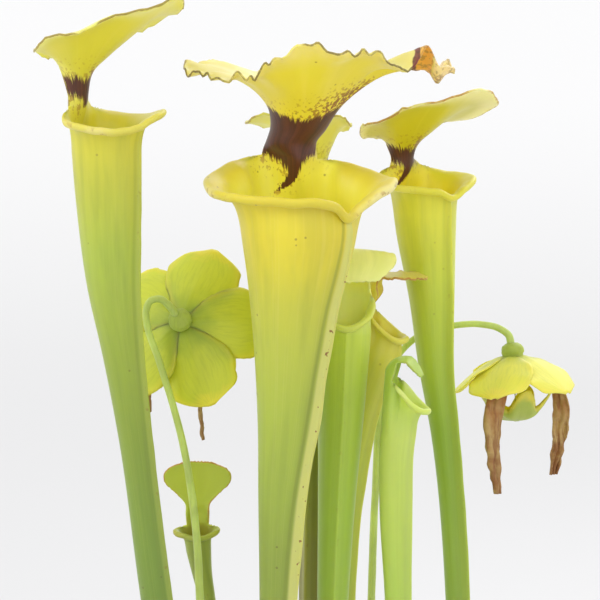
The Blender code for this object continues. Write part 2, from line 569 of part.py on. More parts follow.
class Flower:
    """A nodding flower: scape, bloom of five sepals round an ovary and umbrella, and withered petals."""

    def __init__(self, spec):
        self.spec = spec
        self.face = np.asarray(spec["facing"], float)
        self.face /= np.linalg.norm(self.face)
        tip, before = np.asarray(spec["scape"][-1][:3]), np.asarray(spec["scape"][-2][:3])
        self.arrival = (tip - before) / np.linalg.norm(tip - before)
        self.heart = tip + self.arrival * 0.0030
        self.over = UP - self.face * np.dot(UP, self.face)
        if np.linalg.norm(self.over) < 0.3:
            self.over = np.array([0.0, 1.0, 0.0]) - self.face * self.face[1]
        self.over /= np.linalg.norm(self.over)
        self.side = np.cross(self.over, self.face)

    def spoke(self, degrees):
        a = math.radians(degrees)
        return self.side * math.cos(a) + self.over * math.sin(a)

    def droop(self, s):
        """How far a sepal's middle line has bent towards the flower's face, at a share of its length."""
        length, _, bend = self.spec["sepal"]
        return 0.0028 + length * bend * s**1.6

    def petal(self, bm, sepal, reach, hang, half):
        """A withered strap that leaves the ovary behind a sepal and hangs limp from its edge."""
        out = self.spoke(self.spec["turn"] + 72 * sepal)
        points = []
        for x in (PETAL_SEAT, (PETAL_SEAT + reach) / 2, reach):
            depth = self.droop(max(x - 0.003, 0) / self.spec["sepal"][0]) + 0.0042
            points.append(self.heart + out * x + self.face * depth)
        side = np.cross(out, UP)
        side /= np.linalg.norm(side)
        for share, sway in ((0.22, 0.10), (0.55, 0.06), (1.0, -0.04)):
            drop = np.array([0.0, 0.0, -hang * share])
            drift = (out * (1, 1, 0) * 0.5 + side * 0.3) * hang * sway
            points.append(points[2] + drop + drift + self.face * 0.001)
        width = half * np.array([0.55, 0.80, 0.95, 1.0, 0.92, 0.45])
        keys = np.column_stack([np.linspace(0, 1, len(points)), np.array(points), width])
        rows = []
        for s in np.linspace(0, 1, 9):
            x, y, z, wide = smooth_through(keys, [s])[0]
            limp = smooth_step((s - 0.3) / 0.6)
            turn = 1.3 * limp
            across = side * math.cos(turn) + out * math.sin(turn)
            curl = np.cross(across, UP) * 0.4 * wide * limp
            rows.append([np.array([x, y, z]) + across * wide * v + curl * v * v for v in (-1, 0, 1)])
        strip(bm, rows)

    def sepal(self, bm, index, rows=5, columns=4):
        length, half, _ = self.spec["sepal"]
        angle = self.spec["turn"] + 72 * index
        out, across = self.spoke(angle), self.spoke(angle + 90)
        v = np.linspace(-1, 1, columns + 1)
        made = []
        for s in np.linspace(0, 1, rows + 1):
            wide = half * float(smooth_through(SEPAL_WIDTH, [s])[0][0])
            droop = self.droop(s) + v**2 * wide * 0.22 + v * 0.0012 * math.sin(math.pi * s)
            centre = self.heart + out * (0.0030 + length * s)
            made.append(centre + across * (v * wide)[:, None] + self.face * droop[:, None])
        strip(bm, made)

    def umbrella(self, bm, rings=2, around=20):
        radius = self.spec["umbrella"]
        rows = []
        for r in np.linspace(0.12, 1, rings + 1):
            row = []
            for k in range(around):
                angle = self.spec["turn"] + 36 + 360 * k / around
                lobe = 0.80 + 0.20 * math.cos(math.radians(5 * (angle - self.spec["turn"] - 36)))
                reach = radius * r * (1 - (1 - lobe) * r**2)
                depth = 0.0340 - 0.0160 * r**2 * lobe**2
                row.append(self.heart + self.spoke(angle) * reach + self.face * depth)
            rows.append([bm.verts.new(p) for p in row])
        centre = bm.verts.new(self.heart + self.face * 0.0341)
        for k in range(around):
            bm.faces.new((centre, rows[0][k], rows[0][(k + 1) % around]))
        for inner, outer in zip(rows[:-1], rows[1:]):
            for k in range(around):
                a, b = inner[k], inner[(k + 1) % around]
                c, d = outer[k], outer[(k + 1) % around]
                bm.faces.new((a, c, d))
                bm.faces.new((a, d, b))

    def heart_line(self):
        """The receptacle, ovary and style as one rod line along the flower's axis."""
        profile = ((-0.0036, 0.0026), (-0.0024, 0.0044), (0.0, 0.0054), (0.0030, 0.0050), (0.0060, 0.0058),
                   (0.0100, 0.0056), (0.0140, 0.0034), (0.0175, 0.0014), (0.0345, 0.0014))
        return [(*(self.heart + self.face * place), radius) for place, radius in profile]


# How far from the flower's axis a petal starts, just clear of the ovary
PETAL_SEAT = 0.0062

# Half width of a sepal along its length, as a share of the widest
SEPAL_WIDTH = ((0.0, 0.24), (0.2, 0.62), (0.45, 0.97), (0.65, 1.0), (0.85, 0.72), (1.0, 0.10))


def material(name, colour, roughness):
    made = bpy.data.materials.new(name)
    made.use_nodes = True
    shader = made.node_tree.nodes["Principled BSDF"]
    shader.inputs["Base Color"].default_value = (*colour, 1.0)
    shader.inputs["Roughness"].default_value = roughness
    shader.inputs["Metallic"].default_value = 0.0
    return made


def add_object(name, bm, finish=None, smooth=True):
    mesh = bpy.data.meshes.new(name)
    bm.to_mesh(mesh)
    bm.free()
    obj = bpy.data.objects.new(name, mesh)
    bpy.context.scene.collection.objects.link(obj)
    if finish:
        mesh.materials.append(finish)
    else:
        obj.hide_render = True
        obj.display_type = "WIRE"
    if smooth:
        mesh.shade_smooth()
    return obj


def thicken(obj, wall):
    made = obj.modifiers.new("wall", "SOLIDIFY")
    made.thickness = wall
    made.offset = 0.0


def combine(obj, other, operation, solver="EXACT"):
    made = obj.modifiers.new(other.name, "BOOLEAN")
    made.operation = operation
    made.object = other
    made.solver = solver


def build_pitcher(name, spec, finish):
    obj = add_object(name, Pitcher(spec).sheet(), finish)
    thicken(obj, LEAF_WALL)


def build_flower(name, spec, stem_finish, sepal_finish, petal_finish):
    flower = Flower(spec)
    bm = bmesh.new()
    add_rod(bm, spec["scape"], 6, parts=2)
    add_object("scape_" + name, bm, stem_finish)

    bm = bmesh.new()
    add_rod(bm, flower.heart_line(), 8)
    bloom = add_object("bloom_" + name, bm, sepal_finish)
    for index in range(5):
        bm = bmesh.new()
        flower.sepal(bm, index)
        sepal = add_object("sepal_%s_%d" % (name, index + 1), bm)
        thicken(sepal, SEPAL_WALL)
        combine(bloom, sepal, "UNION", "MANIFOLD")
    bm = bmesh.new()
    flower.umbrella(bm)
    umbrella = add_object("umbrella_" + name, bm)
    thicken(umbrella, SEPAL_WALL)
    combine(bloom, umbrella, "UNION", "MANIFOLD")
    bm = bmesh.new()
    tip = np.asarray(spec["scape"][-1][:3])
    radius = spec["scape"][-1][3] + FIT
    start, end = tip - flower.arrival * 0.006, tip + flower.arrival * FIT
    add_rod(bm, ((*start, radius), (*end, radius)), 8)
    combine(bloom, add_object("socket_" + name, bm), "DIFFERENCE", "MANIFOLD")

    for index, petal in enumerate(spec["petals"]):
        bm = bmesh.new()
        flower.petal(bm, *petal)
        thicken(add_object("petal_%s_%d" % (name, index + 1), bm, petal_finish), PETAL_WALL)


def turned_profile(bm, profile, sides):
    """A solid turned from an outline of (radius, height), whose ends lie on the axis."""
    rings = []
    for radius, height in profile:
        if radius == 0:
            rings.append([bm.verts.new((0, 0, height))])
            continue
        turn = [2 * math.pi * k / sides for k in range(sides)]
        rings.append([bm.verts.new((radius * math.cos(a), radius * math.sin(a), height)) for a in turn])
    for lower, upper in zip(rings[:-1], rings[1:]):
        for k in range(sides):
            m = (k + 1) % sides
            if len(lower) == 1:
                bm.faces.new((lower[0], upper[m], upper[k]))
            elif len(upper) == 1:
                bm.faces.new((lower[k], lower[m], upper[0]))
            else:
                bm.faces.new((lower[k], lower[m], upper[m], upper[k]))


def pot_radius(height):
    """Outer radius of the pot's wall."""
    return POT_FOOT_RADIUS + (POT_TOP_RADIUS - POT_FOOT_RADIUS) * height / POT_HEIGHT


def build_pot(finish):
    band_z = POT_HEIGHT - POT_BAND_HEIGHT
    outline = (
        (0, 0),
        (POT_FOOT_RADIUS - 0.002, 0),
        (POT_FOOT_RADIUS + 0.0002, 0.002),
        (pot_radius(band_z), band_z),
        (pot_radius(band_z) + POT_BAND_PROUD, band_z + 0.001),
        (POT_TOP_RADIUS + POT_BAND_PROUD, POT_HEIGHT - 0.001),
        (POT_TOP_RADIUS + POT_BAND_PROUD - 0.001, POT_HEIGHT),
        (POT_TOP_RADIUS - POT_WALL + 0.001, POT_HEIGHT),
        (POT_TOP_RADIUS - POT_WALL, POT_HEIGHT - 0.001),
        (pot_radius(POT_FLOOR) - POT_WALL, POT_FLOOR),
        (0, POT_FLOOR),
    )
    bm = bmesh.new()
    turned_profile(bm, outline, POT_SIDES)
    pot = add_object("pot", bm, finish, smooth=False)
    bm = bmesh.new()
    for k in range(DRAIN_HOLES):
        a = 2 * math.pi * (k + 0.5) / DRAIN_HOLES
        x, y = DRAIN_CIRCLE_RADIUS * math.cos(a), DRAIN_CIRCLE_RADIUS * math.sin(a)
        add_rod(bm, ((x, y, -0.005, DRAIN_HOLE_RADIUS), (x, y, POT_FLOOR + 0.005, DRAIN_HOLE_RADIUS)), 8)
    combine(pot, add_object("drain_holes", bm, smooth=False), "DIFFERENCE")


def build_soil(finish, cutters):
    def inner(height):
        return pot_radius(height) - POT_WALL - FIT * 1.5

    low = POT_FLOOR + FIT
    outline = (
        (0, low), (inner(low), low), (inner(SOIL_TOP - 0.002), SOIL_TOP - 0.002),
        (inner(SOIL_TOP) - 0.0015, SOIL_TOP), (0.052, SOIL_TOP + SOIL_SWELL * 0.5),
        (0.026, SOIL_TOP + SOIL_SWELL), (0, SOIL_TOP + SOIL_SWELL),
    )
    bm = bmesh.new()
    turned_profile(bm, outline, POT_SIDES)
    soil = add_object("soil", bm, finish, smooth=False)
    for cutter in cutters:
        combine(soil, cutter, "DIFFERENCE")


def stem_cutter():
    """Every stem's foot, grown by the wall and the clearance."""
    bm = bmesh.new()
    reach = 0.016
    lines = [(spec["spine"], LEAF_WALL / 2 + FIT * 1.6, 10) for spec in PITCHERS.values()]
    lines += [(spec["scape"], FIT * 1.6, 8) for spec in FLOWERS.values()]
    for spine, extra, sides in lines:
        keys = np.asarray(spine, float)[:, [2, 0, 1, 3]]
        rows = []
        for z in (LEAF_FOOT - extra, LEAF_FOOT + reach):
            x, y, radius = smooth_through(keys, [z])[0]
            rows.append((x, y, z, radius + extra))
        add_rod(bm, rows, sides)
    return add_object("stem_holes", bm)


def build_rhizome(finish, stems):
    def limbs(name, lines, extra, shown=None):
        bm = bmesh.new()
        for line in lines:
            add_rod(bm, line, 8, extra=extra)
        return add_object(name, bm, shown)

    rhizome = limbs("rhizome", [RHIZOME_MAIN], 0.0, finish)
    combine(rhizome, limbs("rhizome_sides", RHIZOME_SIDES, 0.0), "UNION")
    combine(rhizome, stems, "DIFFERENCE")
    return [
        limbs("rhizome_bed", [RHIZOME_MAIN], FIT * 1.4),
        limbs("rhizome_side_beds", RHIZOME_SIDES, FIT * 1.4),
    ]


def main():
    clear_scene()
    leaf = material("leaf", (0.52, 0.62, 0.12), 0.45)
    sepal = material("sepal", (0.62, 0.66, 0.14), 0.5)
    scape = material("scape", (0.35, 0.50, 0.14), 0.45)
    petal = material("dry_petal", (0.30, 0.14, 0.05), 0.8)
    for name, spec in PITCHERS.items():
        build_pitcher(name, spec, leaf)
    for name, spec in FLOWERS.items():
        build_flower(name, spec, scape, sepal, petal)
    stems = stem_cutter()
    beds = build_rhizome(material("rhizome", (0.12, 0.07, 0.04), 0.9), stems)
    build_soil(material("soil", (0.05, 0.035, 0.025), 1.0), [*beds, stems])
    build_pot(material("pot", (0.03, 0.03, 0.032), 0.6))


main()
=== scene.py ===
"""The looks of the potted yellow pitcher plant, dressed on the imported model.

Metres, +Z up, the plant's front at -Y. Azimuths are measured in the horizontal plane from -Y and grow
towards +X. The shapes repeat the values of the part's source at a finer division. Only the walls, the
width of the wings and the height of two of them are smaller here.
"""

import math

import bmesh
import bpy
import numpy as np
from mathutils import Matrix


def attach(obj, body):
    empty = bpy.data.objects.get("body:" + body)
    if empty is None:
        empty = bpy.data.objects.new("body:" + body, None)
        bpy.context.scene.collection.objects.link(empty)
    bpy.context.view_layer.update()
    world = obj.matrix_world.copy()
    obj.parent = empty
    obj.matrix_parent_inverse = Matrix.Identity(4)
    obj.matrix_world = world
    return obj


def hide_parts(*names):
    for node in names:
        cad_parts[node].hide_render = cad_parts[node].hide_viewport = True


# Photograph: the camera's distance, elevation and aim, and the width that the frame spans at the aim
CAMERA_DISTANCE = 1.300
CAMERA_ELEVATION = math.radians(8)
CAMERA_AIM = (-0.01575, -0.0250, 0.4966)
FRAME_WIDTH = 0.270
SENSOR_WIDTH = 36.0

# Pot and potting mix, as in the part's source
POT_HEIGHT = 0.140
POT_FOOT_RADIUS = 0.064
POT_TOP_RADIUS = 0.083
POT_WALL = 0.0022
POT_FLOOR = 0.0030
POT_BAND_HEIGHT = 0.017
POT_BAND_PROUD = 0.0035
POT_EDGE_RADIUS = 0.0016
SHARP_ANGLE = math.radians(35)
DRAIN_CUT = 0.02
DRAIN_HOLES = 6
DRAIN_HOLE_RADIUS = 0.005
DRAIN_CIRCLE_RADIUS = 0.042
SOIL_TOP = 0.128
SOIL_SWELL = 0.0016

# Leaf tissue, and the wing down the front of each pitcher: it fades in above the mix, ends lower at the
# mouth, and is a little ragged. The tube is uneven by a share of its radius.
LEAF_WALL = 0.0009
SEPAL_WALL = 0.0007
PETAL_WALL = 0.0007
LEAF_FOOT = SOIL_TOP - 0.0075
WING_HALF_WIDTH = 0.0012
WING_START = 0.012
WING_FADE = 0.05
WING_ENDS_LOWER = 0.25
WING_RAGGED = 0.08
TUBE_UNEVEN = 0.006

# Rhizome: middle lines as (x, y, z, radius), the main limb and the side limbs
RHIZOME_MAIN = (
    (-0.066, -0.026, 0.1215, 0.0050), (-0.054, -0.021, 0.1230, 0.0092), (-0.042, -0.016, 0.1222, 0.0096),
    (-0.030, -0.012, 0.1232, 0.0110), (-0.014, -0.006, 0.1220, 0.0096), (0.001, 0.001, 0.1232, 0.0112),
    (0.015, 0.009, 0.1218, 0.0098), (0.028, 0.016, 0.1228, 0.0106), (0.042, 0.024, 0.1218, 0.0088),
    (0.054, 0.030, 0.1228, 0.0092), (0.066, 0.036, 0.1215, 0.0050),
)
RHIZOME_SIDES = (
    ((-0.034, -0.012, 0.1215, 0.0085), (-0.043, 0.005, 0.1226, 0.0087), (-0.049, 0.019, 0.1215, 0.0056)),
    ((0.002, 0.006, 0.1215, 0.0088), (-0.009, 0.024, 0.1226, 0.0088), (-0.016, 0.037, 0.1215, 0.0056)),
    ((0.022, 0.014, 0.1215, 0.0085), (0.016, 0.036, 0.1226, 0.0090), (0.015, 0.058, 0.1216, 0.0064)),
    ((0.014, 0.008, 0.1215, 0.0085), (0.029, -0.005, 0.1226, 0.0087), (0.038, -0.014, 0.1215, 0.0056)),
)

# Key sections of the sheet that rises behind a mouth, in mouth radii above the mouth's centre:
#   post: rise, radius, half angle, back, side - a round post open at the back
#   wall: rise, radius, half angle, back, side - the tube's own back wall carried on upwards
#   span: forward, rise, half width, arch, sweep - a strip from side to side
#   hood: share of the way from the post to the hood's margin
# Rims and hoods are (azimuth from the pitcher's own front, reach, rise), also in mouth radii.
OPEN_RIM = (
    (-180, 0.64, 0.40), (-160, 0.76, 0.42), (-138, 1.10, 0.46), (-118, 1.42, 0.24), (-92, 1.62, 0.10),
    (-60, 1.50, 0.00), (-26, 1.30, -0.10), (0, 1.24, -0.30), (26, 1.32, -0.06), (60, 1.56, 0.14),
    (92, 1.62, 0.18), (118, 1.42, 0.26), (138, 1.10, 0.46), (160, 0.76, 0.42), (180, 0.64, 0.40),
)
LEFT_RIM = (
    (-180, 0.64, 0.34), (-160, 0.76, 0.36), (-140, 1.08, 0.38), (-118, 1.38, 0.16), (-92, 1.50, 0.02),
    (-60, 1.38, -0.10), (-26, 1.48, -0.02), (0, 1.70, 0.30), (26, 1.62, 0.34), (60, 1.50, 0.16),
    (92, 1.52, 0.12), (118, 1.38, 0.22), (140, 1.08, 0.38), (160, 0.76, 0.36), (180, 0.64, 0.34),
)
OPEN_HOOD = (
    (-150, 1.15, 1.66), (-125, 1.75, 1.70), (-95, 2.10, 1.84), (-62, 2.20, 1.96), (-30, 2.30, 2.28),
    (0, 2.50, 2.60), (30, 2.35, 2.32), (62, 2.20, 1.96), (95, 2.10, 1.84), (125, 1.75, 1.70),
    (150, 1.15, 1.66),
)
LEFT_BACK = (
    ("post", 0.86, 0.39, 92, 1.00, 0.0), ("post", 1.34, 0.45, 116, 0.95, 0.0),
    ("hood", 0.14), ("hood", 0.45), ("hood", 0.76), ("hood", 1.0),
)
OPEN_BACK = (
    ("post", 0.76, 0.39, 92, 1.00, 0.0), ("post", 1.06, 0.45, 116, 0.95, 0.0),
    ("hood", 0.14), ("hood", 0.45), ("hood", 0.76), ("hood", 1.0),
)

# The tallest open pitcher, in metres
MAIN_RIM = (
    (-180, 0.0158, 0.0105), (-166, 0.0195, 0.0118), (-154, 0.0290, 0.0122), (-137, 0.0325, 0.0108),
    (-118, 0.0345, 0.0082), (-102, 0.0385, 0.0050), (-88, 0.0400, 0.0030), (-70, 0.0385, -0.0002),
    (-48, 0.0345, -0.0016), (-18, 0.0300, -0.0024), (20, 0.0298, -0.0036), (38, 0.0290, -0.0060),
    (53, 0.0288, -0.0110), (66, 0.0330, -0.0050), (80, 0.0395, 0.0000), (92, 0.0430, 0.0024),
    (108, 0.0415, 0.0034), (124, 0.0360, 0.0060), (137, 0.0320, 0.0082), (154, 0.0275, 0.0100),
    (166, 0.0195, 0.0102), (180, 0.0158, 0.0105),
)
MAIN_HOOD = (
    (-150, 0.028, 0.0470), (-140, 0.037, 0.0475), (-125, 0.045, 0.0500), (-113, 0.0485, 0.0545),
    (-103, 0.0520, 0.0515), (-90, 0.0550, 0.0540), (-78, 0.0550, 0.0490), (-66, 0.0510, 0.0510),
    (-55, 0.0485, 0.0475), (-44, 0.0460, 0.0495), (-33, 0.0465, 0.0490), (-20, 0.0500, 0.0545),
    (-9, 0.0525, 0.0610), (3, 0.0540, 0.0645), (13, 0.0540, 0.0610), (22, 0.0535, 0.0590),
    (34, 0.0540, 0.0620), (46, 0.0545, 0.0540), (57, 0.0560, 0.0525), (68, 0.0590, 0.0615),
    (80, 0.0680, 0.0500), (91, 0.0630, 0.0560), (104, 0.0550, 0.0500), (118, 0.0475, 0.0530),
    (134, 0.0390, 0.0480), (150, 0.0300, 0.0470),
)
MAIN_BACK = (
    ("post", 0.0175, 0.0112, 88, 0.0272, -0.0028), ("post", 0.0235, 0.0124, 100, 0.0268, 0.0004),
    ("post", 0.0295, 0.0142, 118, 0.0262, 0.0022),
    ("hood", 0.12), ("hood", 0.40), ("hood", 0.72), ("hood", 1.0),
)

# Young and small pitchers
VISOR_RIM = (
    (-180, 0.96, 1.05), (-140, 0.97, 1.00), (-105, 1.00, 0.85), (-80, 1.04, 0.50), (-45, 1.08, 0.08),
    (0, 1.08, -0.25), (45, 1.08, 0.08), (80, 1.04, 0.50), (105, 1.00, 0.85), (140, 0.97, 1.00),
    (180, 0.96, 1.05),
)
VISOR_BACK = (
    ("wall", 1.55, 0.93, 76, 0.04, 0.0), ("span", -0.62, 2.15, 1.10, 0.20, 0.45),
    ("span", 0.05, 2.35, 1.75, 0.12, 0.10), ("span", 0.70, 2.00, 1.85, 0.10, -0.15),
    ("span", 1.20, 1.42, 1.15, 0.0, -0.30),
)
TALL_RIM = (
    (-180, 0.74, 1.75), (-150, 0.84, 1.72), (-125, 0.98, 1.50), (-95, 1.08, 0.90), (-55, 1.15, 0.26),
    (0, 1.16, 0.12), (55, 1.15, 0.26), (95, 1.08, 0.90), (125, 0.98, 1.50), (150, 0.84, 1.72),
    (180, 0.74, 1.75),
)
TALL_BACK = (
    ("wall", 2.20, 0.88, 86, 0.02, 0.0), ("wall", 2.66, 0.84, 80, -0.02, 0.0),
    ("span", -0.10, 3.02, 1.00, 0.0, 0.15), ("span", 0.80, 3.12, 1.25, 0.0, 0.0),
    ("span", 1.65, 3.10, 0.98, 0.0, -0.10), ("span", 2.20, 3.02, 0.45, 0.0, -0.15),
)
BEAK_RIM = (
    (-180, 0.92, 2.10), (-150, 0.94, 2.06), (-115, 0.98, 1.90), (-80, 1.04, 1.35), (-48, 1.22, 0.62),
    (-22, 1.46, 0.22), (0, 1.62, 0.14), (22, 1.46, 0.22), (48, 1.22, 0.62), (80, 1.04, 1.35),
    (115, 0.98, 1.90), (150, 0.94, 2.06), (180, 0.92, 2.10),
)
BEAK_BACK = (
    ("wall", 2.55, 0.86, 76, 0.0, 0.0), ("span", -0.30, 3.00, 0.82, 0.12, 0.20),
    ("span", 0.40, 3.05, 1.00, 0.15, 0.0), ("span", 1.00, 2.62, 0.92, 0.0, -0.15),
    ("span", 1.28, 2.15, 0.45, 0.0, -0.10),
)
SMALL_RIM = (
    (-180, 0.85, 0.60), (-150, 0.88, 0.55), (-120, 1.08, 0.35), (-95, 1.75, 0.10), (-55, 1.12, -0.15),
    (0, 1.10, -0.25), (55, 1.12, -0.15), (95, 1.60, 0.25), (120, 1.08, 0.42), (150, 0.88, 0.55),
    (180, 0.85, 0.60),
)
SMALL_BACK = (
    ("wall", 1.30, 0.95, 70, 0.0, 0.0), ("span", -0.80, 2.10, 0.98, 0.0, 0.22),
    ("span", -0.78, 2.95, 1.75, 0.0, 0.10), ("span", -0.62, 4.05, 2.70, 0.0, 0.12),
    ("span", -0.45, 5.05, 2.35, 0.10, 0.12), ("span", -0.35, 5.55, 1.20, 0.10, 0.05),
)

# Every pitcher:
#   spine: (x, y, z, radius) from the rhizome to the mouth; yaw: which way it faces, in degrees
#   wing_at: where its wing runs, from its own front in degrees; wing_height: how far the wing stands out
#   neck_drop: how far below the mouth the lip starts to flare; lip_roll: the radius of the lip's roll
#   unit: what rim, back and hood are measured in; seam: the azimuths between which the back sheet rises
#   axis: where the hood's centre is, back and to the side; hood_foot: rise and radius of the column's top
#   tilt, lift: how far the margin rises towards the front and all round; skew: (amount, azimuth) by which
#   it is drawn out; ruffle: (height, waves round the margin)
#   divisions: points round the tube, tube rows, lip rows, back rows, and the back rows at which the sheet
#   gets twice as many columns
METRE = 1.0
PITCHERS = {
    "pitcher_main": dict(
        spine=(
            (-0.0310, -0.0125, LEAF_FOOT, 0.0042), (-0.0305, -0.0130, 0.180, 0.0044),
            (-0.0290, -0.0150, 0.270, 0.0052), (-0.0270, -0.0170, 0.356, 0.0069),
            (-0.0249, -0.0190, 0.404, 0.0095), (-0.0217, -0.0215, 0.4415, 0.0129),
            (-0.0198, -0.0230, 0.4695, 0.0160), (-0.0182, -0.0242, 0.4950, 0.0196),
            (-0.0168, -0.0250, 0.5116, 0.0228), (-0.0162, -0.0250, 0.5221, 0.0249),
            (-0.0170, -0.0250, 0.5480, 0.0275),
        ),
        yaw=0, wing_at=54, wing_height=0.0052, neck_drop=0.022, lip_roll=0.0017, unit=METRE,
        rim=MAIN_RIM, seam=(160, 150), back=MAIN_BACK, hood=MAIN_HOOD, axis=(0.0255, 0.0038),
        hood_foot=(0.0335, 0.0160), tilt=0.0, lift=0.0, skew=(0.0, 0), ruffle=(0.0006, 17),
        divisions=(144, 90, 30, 72, (3, 9, 20, 44)),
    ),
    "pitcher_left": dict(
        spine=(
            (-0.0520, -0.0200, LEAF_FOOT, 0.0040), (-0.0560, -0.0205, 0.180, 0.0044),
            (-0.0690, -0.0225, 0.270, 0.0054), (-0.0815, -0.0260, 0.3585, 0.0064),
            (-0.0902, -0.0320, 0.4343, 0.0068), (-0.0954, -0.0360, 0.4760, 0.0088),
            (-0.0986, -0.0380, 0.5030, 0.0112), (-0.1005, -0.0400, 0.5450, 0.0142),
            (-0.1015, -0.0400, 0.5780, 0.0155),
        ),
        yaw=66, wing_at=0, wing_height=0.0020, neck_drop=0.013, lip_roll=0.0012, unit=0.0155,
        rim=LEFT_RIM, seam=(140, 140), back=LEFT_BACK, hood=OPEN_HOOD,
        axis=(0.86, 0.0), hood_foot=(1.58, 0.54),
        tilt=0.40, lift=0.52, skew=(0.26, 20), ruffle=(0.0011, 8),
        divisions=(112, 80, 26, 50, (3, 10)),
    ),
    "pitcher_right": dict(
        spine=(
            (0.0530, 0.0290, LEAF_FOOT, 0.0040), (0.0565, 0.0320, 0.180, 0.0042),
            (0.0600, 0.0380, 0.265, 0.0044), (0.0595, 0.0430, 0.343, 0.0049),
            (0.0530, 0.0480, 0.4248, 0.0062), (0.0492, 0.0500, 0.4534, 0.0078),
            (0.0470, 0.0510, 0.4869, 0.0104), (0.0440, 0.0520, 0.5202, 0.0140),
            (0.0430, 0.0520, 0.5420, 0.0156),
        ),
        yaw=44, wing_at=0, wing_height=0.0035, neck_drop=0.014, lip_roll=0.0012, unit=0.0156,
        rim=OPEN_RIM, seam=(140, 140), back=OPEN_BACK, hood=OPEN_HOOD,
        axis=(0.86, 0.0), hood_foot=(1.22, 0.54),
        tilt=0.38, lift=-0.08, skew=(0.26, 50), ruffle=(0.0009, 7),
        divisions=(112, 80, 26, 50, (3, 10)),
    ),
    "pitcher_behind": dict(
        spine=(
            (-0.0120, 0.0290, LEAF_FOOT, 0.0036), (-0.0125, 0.0295, 0.230, 0.0038),
            (-0.0117, 0.0320, 0.3446, 0.0042), (-0.0105, 0.0370, 0.4163, 0.0054),
            (-0.0100, 0.0430, 0.4875, 0.0084), (-0.0110, 0.0460, 0.5250, 0.0112),
            (-0.0110, 0.0470, 0.5400, 0.0118),
        ),
        yaw=-14, wing_at=0, wing_height=0.0028, neck_drop=0.011, lip_roll=0.0011, unit=0.0118,
        rim=OPEN_RIM, seam=(140, 140), back=OPEN_BACK, hood=OPEN_HOOD,
        axis=(0.86, 0.0), hood_foot=(1.26, 0.56),
        tilt=0.15, lift=0.62, skew=(0.30, -70), ruffle=(0.0008, 8),
        divisions=(96, 70, 22, 40, (3, 10)),
    ),
    "pitcher_young_front": dict(
        spine=(
            (0.0020, 0.0010, LEAF_FOOT, 0.0042), (0.0000, 0.0015, 0.230, 0.0054),
            (-0.0004, 0.0040, 0.3521, 0.0068), (0.0014, 0.0070, 0.3991, 0.0084),
            (0.0036, 0.0090, 0.4460, 0.0106), (0.0046, 0.0100, 0.4740, 0.0120),
            (0.0050, 0.0105, 0.4842, 0.0122),
        ),
        yaw=4, wing_at=0, wing_height=0.0009, neck_drop=0.008, lip_roll=0.0012, unit=0.0124,
        rim=VISOR_RIM, seam=(104, 104), back=VISOR_BACK,
        divisions=(96, 70, 22, 40, (10,)),
    ),
    "pitcher_yellow": dict(
        spine=(
            (0.0155, 0.0330, LEAF_FOOT, 0.0036), (0.0090, 0.0310, 0.230, 0.0044),
            (0.0035, 0.0300, 0.3461, 0.0048), (0.0066, 0.0300, 0.3944, 0.0056),
            (0.0145, 0.0305, 0.4423, 0.0076), (0.0205, 0.0310, 0.4620, 0.0094),
            (0.0228, 0.0310, 0.4700, 0.0098),
        ),
        yaw=80, wing_at=0, wing_height=0.0020, neck_drop=0.008, lip_roll=0.0011, unit=0.0098,
        rim=TALL_RIM, seam=(125, 125), back=TALL_BACK,
        divisions=(80, 70, 20, 40, (14,)),
    ),
    "pitcher_young_right": dict(
        spine=(
            (0.0300, -0.0060, LEAF_FOOT, 0.0038), (0.0305, -0.0050, 0.230, 0.0044),
            (0.0291, -0.0020, 0.3526, 0.0050), (0.0280, 0.0000, 0.3995, 0.0066),
            (0.0288, 0.0020, 0.4280, 0.0071), (0.0310, 0.0025, 0.4410, 0.0078),
        ),
        yaw=78, wing_at=0, wing_height=0.0018, neck_drop=0.012, lip_roll=0.0010, unit=0.0078,
        rim=BEAK_RIM, seam=(114, 114), back=BEAK_BACK,
        divisions=(80, 60, 24, 40, (14,)),
    ),
    "pitcher_small": dict(
        spine=(
            (-0.0460, 0.0120, LEAF_FOOT, 0.0030), (-0.0520, 0.0105, 0.230, 0.0030),
            (-0.0591, 0.0080, 0.3501, 0.0034), (-0.0618, 0.0080, 0.3644, 0.0044),
            (-0.0633, 0.0080, 0.3760, 0.0056), (-0.0636, 0.0080, 0.3830, 0.0058),
        ),
        yaw=0, wing_at=0, wing_height=0.0012, neck_drop=0.006, lip_roll=0.0009, unit=0.0058,
        rim=SMALL_RIM, seam=(120, 120), back=SMALL_BACK,
        divisions=(64, 60, 18, 44, (16,)),
    ),
}

